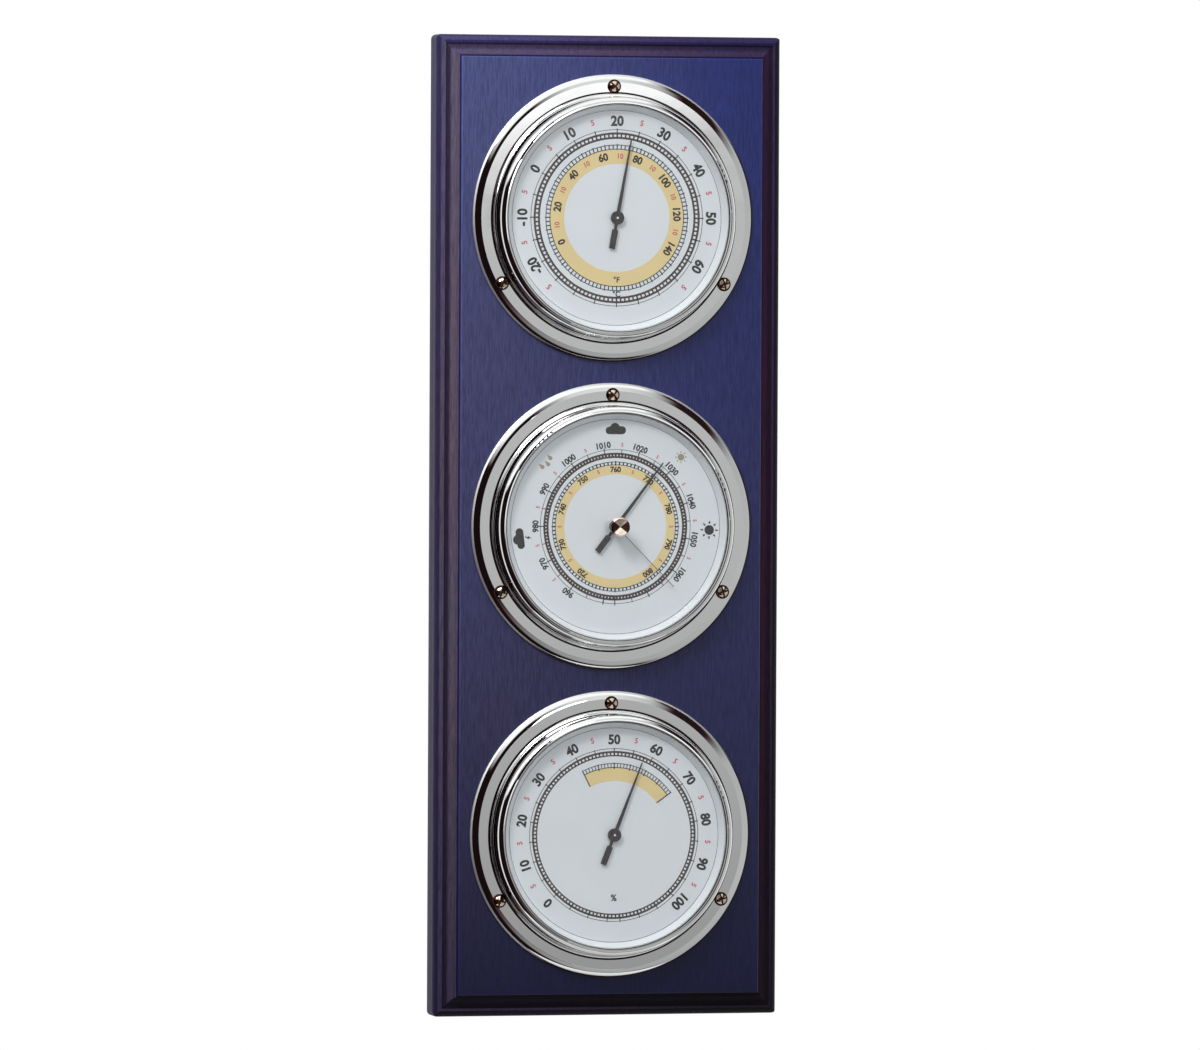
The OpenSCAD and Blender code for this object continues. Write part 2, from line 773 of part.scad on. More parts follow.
// Barometer
module barometer_base_plate() color(steel) difference() {
    plate(base_z, base_front_z);
    hole(adjusting_r + run_gap, base_z, base_front_z);
}

module barometer_back_plate() color(brass) difference() {
    plate(plate_back_z, plate_z);
    hole(pivot_r + run_gap, plate_back_z, plate_z);
    translate([-centre_gap, 0, 0]) hole(pivot_r + run_gap, plate_back_z, plate_z);
    translate([sector_pin_x - slot_w/2, rocker_y - slot_below, plate_back_z - over])
        cube([slot_w, slot_below + slot_above, plate_t + 2*over]);
}

// The capsule's half section, with round waves between its boss and its rim
function wave(i) = capsule_wave_h/2*(1 - cos(360*i/wave_steps));
function wave_r(i) = capsule_boss_r + capsule_flat*i/(capsule_waves*wave_steps);
module barometer_capsule() color(steel) {
    middle = capsule_z + capsule_t/2;
    steps = capsule_waves*wave_steps;
    rotate_extrude($fn = 90) polygon(concat(
        [[0, capsule_z]],
        [for (i = [0:steps]) [wave_r(i), capsule_z + wave(i)]],
        [[capsule_d/2, middle - capsule_rim_t/2], [capsule_d/2, middle + capsule_rim_t/2]],
        [for (i = [steps:-1:0]) [wave_r(i), capsule_front_z - wave(i)]],
        [[0, capsule_front_z]]));
}

module barometer_capsule_post() color(brass) {
    disc(post_r, capsule_front_z, post_top_z);
    disc(nut_r, capsule_front_z, capsule_front_z + nut_t);
    disc(collar_r, collar_z, collar_z + collar_t);
}

module barometer_main_spring() color(steel) difference() {
    translate([-spring_w/2, -spring_reach - spring_tail, spring_z])
        cube([spring_w, spring_reach + spring_tail + spring_tip, spring_t]);
    hole(spring_hole_r, spring_z, spring_z + spring_t);
}

// The rocker's two lugs and the block under the main spring's fixed end
module barometer_brackets() color(brass) {
    for (x = [lug_left_x, lug_right_x]) translate([x, rocker_y, 0]) difference() {
        translate([0, -lug_w/2, base_front_z]) cube([lug_t, lug_w, rocker_z - base_front_z + lug_top]);
        translate([-over, 0, rocker_z]) rotate([0, 90, 0])
            cylinder(r = rocker_r + run_gap, h = lug_t + 2*over);
    }
    translate([-block_w/2, -spring_reach - block_l/2, base_front_z])
        cube([block_w, block_l, spring_z - base_front_z]);
}

module barometer_rocker() color(steel) {
    translate([lug_left_x - rocker_end, rocker_y, rocker_z]) rotate([0, 90, 0])
        cylinder(r = rocker_r, h = lug_right_x + lug_t - lug_left_x + 2*rocker_end);
    translate([sector_pin_x - long_arm_w/2, rocker_y - long_arm_t/2, rocker_z])
        cube([long_arm_w, long_arm_t, sector_z - long_arm_under - rocker_z]);
    translate([-short_arm_w/2, rocker_y, rocker_z - short_arm_t/2])
        cube([short_arm_w, short_arm_over - rocker_y, short_arm_t]);
}

// The tab in the sector's plane with the pin that the rocker pushes
module barometer_sector() color(brass) translate([-centre_gap, 0, 0]) {
    translate([0, 0, sector_z])
        sector_wheel(-barometer_up - sector_spare, barometer_down + sector_spare);
    plain_arbor();
    rotate([0, 0, atan2(sector_pin_y, sector_pin_lever)])
        translate([0, -sector_arm_w/2, sector_z])
            cube([norm([sector_pin_lever, sector_pin_y]) + 2*sector_pin_r, sector_arm_w, sector_t]);
    translate([sector_pin_lever, sector_pin_y, 0])
        disc(sector_pin_r, sector_z - sector_pin_deep, sector_z + sector_t/2);
}

module pinion() color(steel) {
    pointer_arbor();
    translate([0, 0, sector_z - pinion_extra]) pinion_gear();
    disc(collet_r, hair_z - collet_over, hair_z + hair_w + collet_over);
}

module hairspring() color(steel) translate([0, 0, hair_z]) linear_extrude(hair_w)
    polygon(spiral(hair_start_r, hair_pitch, hair_turns, hair_t));

// The screw behind the capsule: its head is reached through the back cover
module barometer_adjusting_screw() color(brass) difference() {
    union() {
        disc(adjusting_head_r, base_z - run_gap - adjusting_head_h, base_z - run_gap);
        disc(adjusting_r, base_z - adjusting_head_h/2, base_front_z + stud_h/2);
        disc(stud_r, base_front_z + run_gap, capsule_z);
    }
    translate([-adjusting_head_r - over, -adjusting_slot_w/2,
               base_z - run_gap - adjusting_head_h - over])
        cube([2*adjusting_head_r + 2*over, adjusting_slot_w, adjusting_slot_deep + over]);
}

module barometer_glass_bush() color(brass) difference() {
    union() {
        disc(bush_r, glass_z, lip_z + bush_flange_t);
        disc(bush_flange_r, lip_z, lip_z + bush_flange_t);
    }
    hole(bush_bore_r, glass_z, lip_z + bush_flange_t);
}

module barometer_setting_hand() color(brass) turned(setting_angle) difference() {
    union() {
        translate([-setting_hand_w/2, 0, setting_hand_z])
            cube([setting_hand_w, setting_reach, setting_hand_t]);
        disc(setting_boss_r, setting_hand_z, setting_hand_z + setting_boss_t);
    }
    hole(setting_shaft_r + press_gap, setting_hand_z, setting_hand_z + setting_boss_t);
}

module barometer_setting_knob() color(brass) {
    r = knob_d/2;
    top = knob_z + knob_h;
    disc(setting_shaft_r, setting_hand_z, knob_z + knob_neck_h);
    rotate_extrude() polygon(concat(
        [[0, knob_z], [r*knob_neck_share, knob_z], [r*knob_neck_share, knob_z + knob_neck_h],
         [r - knob_round, knob_z + knob_neck_h], [r, knob_z + knob_neck_h + knob_round]],
        [for (a = [0:15:90]) [r - knob_round*(1 - cos(a)), top - knob_round*(1 - sin(a))]],
        [[0, top - knob_dish]]));
}

// Hygrometer: its back plate has an arm that carries the eccentric at the fibre's far end
module hygrometer_back_plate() color(brass) difference() {
    union() {
        plate(plate_back_z, plate_z);
        translate([tail_pin_x, 0, plate_back_z]) linear_extrude(plate_t) {
            translate([-fibre_arm_w/2, adjuster_y]) square([fibre_arm_w, -adjuster_y - fibre_arm_w/2]);
            translate([0, adjuster_y]) circle(r = fibre_arm_w/2);
        }
    }
    hole(pivot_r + run_gap, plate_back_z, plate_z);
    translate([-centre_gap, 0, 0]) hole(pivot_r + run_gap, plate_back_z, plate_z);
    translate([tail_pin_x, adjuster_y, 0]) hole(adjuster_r + run_gap, plate_back_z, plate_z);
}

module hygrometer_sector() color(brass) translate([-centre_gap, 0, 0]) {
    translate([0, 0, sector_z])
        sector_wheel(-hygrometer_up - sector_spare, hygrometer_down + sector_spare);
    plain_arbor();
    translate([-tail_lever - 2*tail_pin_r, -sector_arm_w/2, sector_z])
        cube([tail_lever + 2*tail_pin_r, sector_arm_w, sector_t]);
    translate([-tail_lever, 0, 0]) disc(tail_pin_r, sector_z - tail_pin_deep, sector_z + sector_t/2);
}

module hygrometer_fibre() color("ivory") {
    low = adjuster_y + adjuster_throw + adjuster_pin_r;
    translate([tail_pin_x, low, fibre_z]) rotate([-90, 0, 0])
        cylinder(r = fibre_r, h = -low - tail_pin_r);
}

module hygrometer_adjuster() color(steel) translate([tail_pin_x, adjuster_y, 0]) difference() {
    union() {
        disc(adjuster_head_r, plate_back_z - run_gap - adjuster_head_h, plate_back_z - run_gap);
        disc(adjuster_r, plate_back_z - adjuster_head_h/2, plate_z);
        translate([0, adjuster_throw, 0])
            disc(adjuster_pin_r, plate_z - plate_t/2, plate_z + adjuster_pin_h);
    }
    translate([-adjuster_head_r - over, -adjusting_slot_w/2,
               plate_back_z - run_gap - adjuster_head_h - over])
        cube([2*adjuster_head_r + 2*over, adjusting_slot_w, adjusting_slot_deep + over]);
}

board();
hanger_plate();
hanger_screws();
mounting_screws();
for (k = [-1, 1]) at_station(k) ties(plate_back_z);  // tie_screws

at_station(1) case();  // thermometer_case
at_station(1) bezel();  // thermometer_bezel
at_station(1) glass();  // thermometer_glass
at_station(1) dial_ring();  // thermometer_dial_ring
at_station(1) dial();  // thermometer_dial
at_station(1) back_cover();  // thermometer_back_cover
at_station(1) thermometer_back_plate();
at_station(1) front_bridge(false);  // thermometer_front_bridge
at_station(1) spacers();  // thermometer_spacers
at_station(1) thermometer_arbor();
at_station(1) thermometer_coil();
at_station(1) turned(thermometer_angle) color(black) pointer(thermometer_reach);  // thermometer_pointer

at_station(0) case();  // barometer_case
at_station(0) bezel();  // barometer_bezel
at_station(0) glass(bush_r + press_gap);  // barometer_glass
at_station(0) dial_ring();  // barometer_dial_ring
at_station(0) dial();  // barometer_dial
at_station(0) back_cover([[0, 0]]);  // barometer_back_cover
at_station(0) barometer_base_plate();
at_station(0) barometer_back_plate();
at_station(0) front_bridge();  // barometer_front_bridge
at_station(0) spacers(true);  // barometer_spacers
at_station(0) ties(base_z);  // barometer_tie_screws
at_station(0) barometer_capsule();
at_station(0) barometer_capsule_post();
at_station(0) barometer_main_spring();
at_station(0) barometer_brackets();
at_station(0) barometer_rocker();
at_station(0) barometer_sector();
at_station(0) pinion();  // barometer_pinion
at_station(0) hairspring();  // barometer_hairspring
at_station(0) turned(barometer_angle) color(black) pointer(barometer_reach);  // barometer_pointer
at_station(0) barometer_adjusting_screw();
at_station(0) barometer_glass_bush();
at_station(0) barometer_setting_hand();
at_station(0) barometer_setting_knob();

at_station(-1) case();  // hygrometer_case
at_station(-1) bezel();  // hygrometer_bezel
at_station(-1) glass();  // hygrometer_glass
at_station(-1) dial_ring();  // hygrometer_dial_ring
at_station(-1) dial();  // hygrometer_dial
at_station(-1) back_cover([[tail_pin_x, adjuster_y]]);  // hygrometer_back_cover
at_station(-1) hygrometer_back_plate();
at_station(-1) front_bridge();  // hygrometer_front_bridge
at_station(-1) spacers();  // hygrometer_spacers
at_station(-1) hygrometer_sector();
at_station(-1) pinion();  // hygrometer_pinion
at_station(-1) hairspring();  // hygrometer_hairspring
at_station(-1) turned(hygrometer_angle) color(black) pointer(hygrometer_reach);  // hygrometer_pointer
at_station(-1) hygrometer_fibre();
at_station(-1) hygrometer_adjuster();
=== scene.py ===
import json
import math

import bmesh
import bpy
from mathutils import Matrix, Vector


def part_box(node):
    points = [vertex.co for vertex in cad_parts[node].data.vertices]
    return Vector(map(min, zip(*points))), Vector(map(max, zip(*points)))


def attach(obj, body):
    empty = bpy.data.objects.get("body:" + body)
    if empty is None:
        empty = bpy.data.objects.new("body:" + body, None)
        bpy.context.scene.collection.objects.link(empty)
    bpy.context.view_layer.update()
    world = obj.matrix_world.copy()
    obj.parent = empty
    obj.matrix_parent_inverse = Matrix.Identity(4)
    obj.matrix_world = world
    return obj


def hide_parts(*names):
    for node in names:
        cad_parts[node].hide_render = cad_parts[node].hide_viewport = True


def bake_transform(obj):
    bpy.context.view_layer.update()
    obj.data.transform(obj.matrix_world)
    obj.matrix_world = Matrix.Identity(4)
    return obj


# Weather station: a stained, moulded board with three chromed porthole instruments.
# Metres, x to the right, y into the wall, z up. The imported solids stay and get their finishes
# here, the scales are printed on the dials, and camera and lights follow the photograph.

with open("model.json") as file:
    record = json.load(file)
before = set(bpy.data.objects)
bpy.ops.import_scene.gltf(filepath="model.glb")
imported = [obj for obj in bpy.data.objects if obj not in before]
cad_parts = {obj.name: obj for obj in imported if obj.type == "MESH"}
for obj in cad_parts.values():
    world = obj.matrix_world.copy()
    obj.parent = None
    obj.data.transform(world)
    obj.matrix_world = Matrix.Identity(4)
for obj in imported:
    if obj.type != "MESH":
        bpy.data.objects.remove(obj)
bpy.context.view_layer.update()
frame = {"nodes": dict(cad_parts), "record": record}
nodes = frame["nodes"]
mm = 0.001
staticBody = "board_and_cases"
boardLow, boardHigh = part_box("board")
faceMid = Vector((0, boardLow.y, (boardLow.z + boardHigh.z)/2))
print("frame loaded,", len(nodes), "solids")


def dialCentre(instrument):
    low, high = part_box(instrument + "_dial")
    return Vector(((low.x + high.x)/2, low.y, (low.z + high.z)/2))


# Camera
camera = {
    "distance": 5.0,         # from the middle of the board's face
    "yaw": -13.4,            # degrees, to the left of straight on
    "pitch": 1.2,            # degrees above level
    "roll": 0.271,           # degrees
    "lens": 294.3,           # mm, on a sensor this wide
    "sensor": 36,
    "shift": (-0.0089, 0.0010),
    "nearest": 0.05,
}


def placeCamera(s):
    yaw, pitch, roll = (math.radians(s[k]) for k in ("yaw", "pitch", "roll"))
    away = Vector((math.sin(yaw)*math.cos(pitch), -math.cos(yaw)*math.cos(pitch), math.sin(pitch)))
    right = (-away).cross(Vector((0, 0, 1))).normalized()
    up = right.cross(-away)
    turnedRight = right*math.cos(roll) + up*math.sin(roll)
    turnedUp = up*math.cos(roll) - right*math.sin(roll)
    data = bpy.data.cameras.new("camera")
    data.lens = s["lens"]
    data.sensor_width = s["sensor"]
    data.shift_x, data.shift_y = s["shift"]
    data.clip_start = s["nearest"]
    obj = bpy.data.objects.new("camera", data)
    turn = Matrix((turnedRight, turnedUp, away)).transposed().to_4x4()
    obj.matrix_world = Matrix.Translation(faceMid + away*s["distance"]) @ turn
    bpy.context.scene.collection.objects.link(obj)
    bpy.context.scene.camera = obj


placeCamera(camera)
print("camera placed")


# Node helpers for the materials
class Nodes:
    def __init__(self, tree):
        self.tree = tree
        self.made = tree.nodes
        self.made.clear()

    def add(self, kind, inputs=None, **settings):
        n = self.made.new(kind)
        for key, value in settings.items():
            setattr(n, key, value)
        for key, value in (inputs or {}).items():
            self.feed(n.inputs[key], value)
        return n

    def feed(self, socket, value):
        if isinstance(value, bpy.types.NodeSocket):
            self.tree.links.new(value, socket)
        else:
            socket.default_value = value

    def math(self, operation, a, b=0.0, clamp=False):
        n = self.add("ShaderNodeMath", operation=operation, use_clamp=clamp)
        self.feed(n.inputs[0], a)
        self.feed(n.inputs[1], b)
        return n.outputs[0]

    def blend(self, factor, a, b, blendType="MIX"):
        n = self.add("ShaderNodeMix", data_type="RGBA", blend_type=blendType)
        self.feed(n.inputs[0], factor)
        self.feed(n.inputs[6], a)
        self.feed(n.inputs[7], b)
        return n.outputs[2]

    def mixLevel(self, factor, a, b):
        n = self.add("ShaderNodeMix", data_type="FLOAT")
        for i, value in ((0, factor), (2, a), (3, b)):
            self.feed(n.inputs[i], value)
        return n.outputs[0]

    def most(self, first, *others):
        for value in others:
            first = self.math("MAXIMUM", first, value)
        return first

    def reach(self, a, b):
        return self.math("SQRT", self.math("ADD", self.math("POWER", a, 2.0),
                                           self.math("POWER", b, 2.0)))

    def step(self, value, low, high, outLow=0.0, outHigh=1.0):
        n = self.add("ShaderNodeMapRange", interpolation_type="SMOOTHSTEP")
        for i, v in enumerate((value, low, high, outLow, outHigh)):
            self.feed(n.inputs[i], v)
        return n.outputs[0]

    # One between low and high, with soft ends
    def between(self, value, low, high, soft):
        return self.math("MULTIPLY", self.step(value, low, low + soft),
                         self.step(value, high, high + soft, 1, 0))

    def place(self, scale=(1, 1, 1), centre=(0, 0, 0)):
        where = self.add("ShaderNodeTexCoord").outputs["Object"]
        moved = self.add("ShaderNodeVectorMath", operation="SUBTRACT")
        self.feed(moved.inputs[0], where)
        moved.inputs[1].default_value = centre
        sized = self.add("ShaderNodeVectorMath", operation="MULTIPLY")
        self.feed(sized.inputs[0], moved.outputs[0])
        sized.inputs[1].default_value = scale
        return sized.outputs[0]

    def noise(self, scale, detail=3.0, rough=0.5, stretch=(1, 1, 1)):
        n = self.add("ShaderNodeTexNoise", {"Vector": self.place(stretch), "Scale": scale,
                                            "Detail": detail, "Roughness": rough})
        return n.outputs["Fac"]

    def bump(self, height, distance, strength=1.0):
        n = self.add("ShaderNodeBump", {"Height": height, "Distance": distance,
                                        "Strength": strength})
        return n.outputs["Normal"]

    def split(self, vector):
        return self.add("ShaderNodeSeparateXYZ", {"Vector": vector}).outputs

    # Colours along a value; the ramp holds them as shares of the strongest
    def ramp(self, factor, rows, most):
        n = self.add("ShaderNodeValToRGB", {"Fac": factor})
        stops = n.color_ramp.elements
        while len(stops) < len(rows):
            stops.new(0.5)
        for stop, (at, colour) in zip(stops, rows):
            stop.position = at
            stop.color = tuple(c/most for c in colour) + (1,)
        return n.outputs["Color"]


def newMaterial(name):
    m = bpy.data.materials.new(name)
    m.use_nodes = True
    return m, Nodes(m.node_tree)


def closeMaterial(n, inputs):
    shader = n.add("ShaderNodeBsdfPrincipled", inputs)
    out = n.add("ShaderNodeOutputMaterial")
    n.tree.links.new(shader.outputs[0], out.inputs["Surface"])


def closeMixed(n, factor, first, second, output="ShaderNodeOutputMaterial"):
    mixed = n.add("ShaderNodeMixShader")
    for socket, value in zip(mixed.inputs, (factor, first.outputs[0], second.outputs[0])):
        n.feed(socket, value)
    out = n.add(output)
    n.tree.links.new(mixed.outputs[0], out.inputs["Surface"])


def grey(level):
    return (level,)*3 + (1,)


def shaded(colour, share):
    return tuple(c*share for c in colour[:3]) + (1,)


# Finishes. A noise is given as its scale, detail, roughness and stretch, and what shows of it as
# the noise's low and high value and what each of them gives. The board's colour is painted paler
# at the upper left as painted light and sheen, and darker toward the foot and the right as painted
# shade
woodLook = {
    # The colour up the board by share of its height, on the panel and on the moulding, darker toward
    # the foot as painted shade, and the painted shade that deepens it toward the right side, at the
    # foot and at the top
    "panel": ((0.0, (0.002, 0.003, 0.045)), (0.4, (0.049, 0.049, 0.143)),
              (1.0, (0.072, 0.092, 0.285))),
    "panelRight": ((0.85, 0.90, 0.95, 1), (0.14, 0.26, 0.72, 1)),
    "edge": ((0.0, (0.024, 0.021, 0.066)), (0.4, (0.062, 0.053, 0.112)),
             (1.0, (0.080, 0.068, 0.150))),
    "edgeRight": ((0.38, 0.22, 0.26, 1), (0.36, 0.30, 0.55, 1)),
    "violet": (1.30, 0.92, 0.75, 1), "dark": (0.35, 0.35, 0.45, 1), "pale": (1.9, 1.8, 1.5, 1),
    "cloud": (9.0, 4, 0.6, (1, 1, 0.45)), "cloudShows": (0.4, 0.75, 0, 0.5),
    "grain": (1100.0, 3, 0.6, (1, 1, 0.10)), "grainShows": (0.35, 0.7, 0, 0.55),
    "pores": (2300.0, 2, 0.5, (1, 1, 0.08)), "poresShow": (0.62, 0.72, 0, 0.5),
    "roughness": 0.45, "edgeRoughness": 0.62, "grainGloss": (0.2, 0.8, -0.05, 0.07),
    "grainDepth": 0.00002, "bump": 0.6, "specular": 0.14, "coat": (0.3, 0.06),
    "coatRoughness": 0.24,
    # Metres behind the panel where the moulding's colour and painted light take over, half widths of
    # the joins at the board's middle and at its mitres, and how far off the back its own plain tint
    # takes over
    "edgeFrom": (0.0002, 0.0012), "join": 0.001, "mitre": 0.0002,
    "backFrom": (0.0003, 0.0001), "backTint": (0.9, 0.9, 0.9, 1),
    # Painted highlights and painted shade lie in bands along the moulding, each side lit or shaded
    # its own way. Each row is the distance in from the board's side in mm, counted on backward down
    # the side as negative, and the tint there
    "beadDepth": 10.0, "reach": 12.0, "strongest": 3.0,
    "left": ((-12, (0.9, 0.95, 1.0)), (-7.8, (0.9, 0.95, 1.0)), (-7.2, (0.5, 0.5, 0.7)),
             (-3.4, (0.5, 0.5, 0.7)), (-2.8, (0.95, 0.9, 1.0)), (-0.4, (0.95, 0.9, 1.0)),
             (0.2, (0.5, 0.5, 0.75)), (1.8, (0.5, 0.5, 0.75)), (2.4, (1.6, 1.5, 1.3)),
             (4.1, (1.6, 1.5, 1.3)), (4.4, (0.3, 0.25, 0.4)), (6.4, (0.55, 0.4, 0.5)),
             (7.6, (2.1, 2.1, 1.5)), (10.4, (2.4, 2.3, 1.6)), (10.7, (0.3, 0.25, 0.7)),
             (11.2, (0.3, 0.25, 0.7)), (11.3, (1.6, 1.8, 1.8)), (11.8, (1.6, 1.8, 1.8)),
             (12, (1, 1, 1))),
    "right": ((-12, (0.3, 0.2, 0.3)), (3.0, (0.3, 0.2, 0.3)), (3.4, (1.7, 1.7, 1.3)),
              (4.4, (1.7, 1.7, 1.3)), (4.8, (0.6, 0.3, 0.4)), (6.5, (1.2, 0.6, 0.7)),
              (8.0, (2.0, 0.9, 0.9)), (9.8, (1.7, 0.8, 0.9)), (10.6, (0.9, 0.3, 0.6)),
              (11.2, (0.9, 0.3, 0.6)), (11.3, (1.3, 1.4, 1.2)), (11.8, (1.3, 1.4, 1.2)),
              (12, (1, 1, 1))),
    "top": ((-12, (0.5, 0.5, 0.7)), (1.0, (0.6, 0.6, 0.8)), (1.3, (1.0, 1.0, 1.3)),
            (2.8, (1.0, 1.0, 1.3)), (3.1, (0.4, 0.35, 0.8)), (4.9, (0.4, 0.35, 0.8)),
            (5.3, (0.8, 0.6, 0.6)), (7.0, (0.9, 0.8, 0.9)), (8.0, (1.4, 1.3, 1.2)),
            (10.2, (1.5, 1.4, 1.2)), (10.5, (0.35, 0.25, 0.7)), (11.2, (0.35, 0.25, 0.7)),
            (11.3, (1.2, 1.3, 1.3)), (11.8, (1.2, 1.3, 1.3)), (12, (1, 1, 1))),
    "foot": ((-12, (0.2, 0.1, 0.2)), (2.9, (0.2, 0.1, 0.2)), (3.2, (2.2, 1.8, 1.4)),
             (4.1, (2.2, 1.8, 1.4)), (4.4, (0.2, 0.1, 0.2)), (10.4, (0.4, 0.2, 0.3)),
             (11.2, (0.1, 0.1, 0.1)), (11.4, (1, 1, 1)), (12, (1, 1, 1))),
}


# Painted light on the moulding: bands of painted highlight on the ridges and painted shade in the
# grooves and steps, each side its own
def mouldingTint(n, place, s):
    inward = {"left": n.math("SUBTRACT", place["X"], boardLow.x),
              "right": n.math("SUBTRACT", boardHigh.x, place["X"]),
              "top": n.math("SUBTRACT", boardHigh.z, place["Z"]),
              "foot": n.math("SUBTRACT", place["Z"], boardLow.z)}
    back = n.math("SUBTRACT", n.math("SUBTRACT", place["Y"], boardLow.y), s["beadDepth"]*mm)
    back = n.math("MAXIMUM", back, 0.0)
    tints = {}
    for side, distance in inward.items():
        along = n.math("DIVIDE", n.math("SUBTRACT", distance, back), s["reach"]*mm)
        rows = [((at/s["reach"] + 1)/2, tint) for at, tint in s[side]]
        tints[side] = n.ramp(n.math("MULTIPLY", n.math("ADD", along, 1.0), 0.5), rows,
                             s["strongest"])
    stile = n.blend(n.step(place["X"], -s["join"], s["join"]), tints["left"], tints["right"])
    upper = n.step(place["Z"], faceMid.z - s["join"], faceMid.z + s["join"])
    rail = n.blend(upper, tints["foot"], tints["top"])
    nearer = n.math("SUBTRACT", n.math("MINIMUM", inward["left"], inward["right"]),
                    n.math("MINIMUM", inward["top"], inward["foot"]))
    both = n.blend(n.step(nearer, -s["mitre"], s["mitre"]), stile, rail)
    bands = n.blend(1.0, both, grey(s["strongest"]), "MULTIPLY")
    backFace = n.step(place["Y"], *(boardHigh.y - d for d in s["backFrom"]))
    return n.blend(backFace, bands, s["backTint"])


def stainedWood(s):
    m, n = newMaterial("stainedWood")
    place = n.split(n.place())
    height = n.math("DIVIDE", n.math("SUBTRACT", place["Z"], boardLow.z), boardHigh.z - boardLow.z)
    side = n.step(place["X"], boardLow.x, boardHigh.x)
    stainsAndPaintedLight = []
    # Painted light: the stain's blue is painted paler up the board, and darker toward the right as
    # painted shade
    for zone in ("panel", "edge"):
        deeper = n.blend(height, *s[zone + "Right"])
        stainsAndPaintedLight.append(n.blend(side, n.ramp(height, s[zone], 1.0), deeper, "MULTIPLY"))
    edge = n.step(place["Y"], *(boardLow.y + d for d in s["edgeFrom"]))
    stainAndPaintedLight = n.blend(1.0, n.blend(edge, *stainsAndPaintedLight), mouldingTint(n, place, s), "MULTIPLY")
    grain, pores = n.noise(*s["grain"]), n.noise(*s["pores"])
    for shows, tint in ((n.step(n.noise(*s["cloud"]), *s["cloudShows"]), s["violet"]),
                        (n.step(grain, *s["grainShows"]), s["dark"]),
                        (n.step(pores, *s["poresShow"]), s["pale"])):
        stainAndPaintedLight = n.blend(shows, stainAndPaintedLight, tint, "MULTIPLY")
    rough = n.blend(edge, grey(s["roughness"]), grey(s["edgeRoughness"]))
    closeMaterial(n, {
        "Base Color": stainAndPaintedLight,
        "Roughness": n.math("ADD", rough, n.step(grain, *s["grainGloss"])),
        "Specular IOR Level": s["specular"],
        "Normal": n.bump(n.math("ADD", grain, pores), s["grainDepth"], s["bump"]),
        "Coat Weight": n.step(edge, 0, 1, *s["coat"]), "Coat Roughness": s["coatRoughness"]})
    return m


# Brass of the screws, with painted shade dark in the recess, which lies this far behind the head's
# highest point
screwLook = {
    "colour": (0.78, 0.64, 0.52, 1), "worn": (0.55, 0.42, 0.31, 1),
    "dark": (0.045, 0.02, 0.015, 1), "patches": (400.0, 4, 0.55), "wornShows": (0.35, 0.7, 0, 0.6),
    "glossShows": (0.3, 0.75), "roughness": (0.1, 0.2),
    "recess": (0.0008, 0.0010), "recessEnd": (0.003, 0.004),
}


def screwBrass(s):
    m, n = newMaterial("screwBrass")
    patch = n.noise(*s["patches"])
    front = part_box("mounting_screws")[0].y
    depth = n.math("SUBTRACT", n.split(n.place())["Y"], front)
    # Painted shade: the screw's recess is dark
    recessPaintedShade = n.math("MULTIPLY", n.step(depth, *s["recess"]), n.step(depth, *s["recessEnd"], 1, 0))
    shade = n.blend(n.step(patch, *s["wornShows"]), s["colour"], s["worn"])
    closeMaterial(n, {
        "Base Color": n.blend(recessPaintedShade, shade, s["dark"]), "Metallic": 1.0,
        "Roughness": n.step(patch, *s["glossShows"], *s["roughness"])})
    return m


# Chrome. The flanges' slopes are polished slightly round, and the plating is a little wavy
chromeLook = {
    "colour": (0.80, 0.815, 0.805, 1), "worn": (0.70, 0.71, 0.71, 1),
    "waves": (75.0, 2, 0.4), "waveDepth": 0.000006,
    "patches": (40.0, 4, 0.55), "glossShows": (0.3, 0.75), "roughness": (0.03, 0.06),
    "fine": (1800.0, 2, 0.5), "wornShows": (0.3, 0.8, 0, 0.12),
    # Depth of the round on the slopes, and where it starts as a share from foot to flange
    "slopeRound": 0.00018, "slopeFrom": 0.6,
    # Painted shade as dark lines: the joint round the bezel's foot, the flange's rim away from the
    # light, and the lip's edge inside this radius, all with ends this soft
    "line": (0.03, 0.018, 0.02, 1), "joint": 0.0009, "rim": 0.0006, "lip": 0.0581, "soft": 0.0001,
    # The flange's very edge is buffed less
    "buffed": 0.0008, "edgeRoughness": 0.5,
}


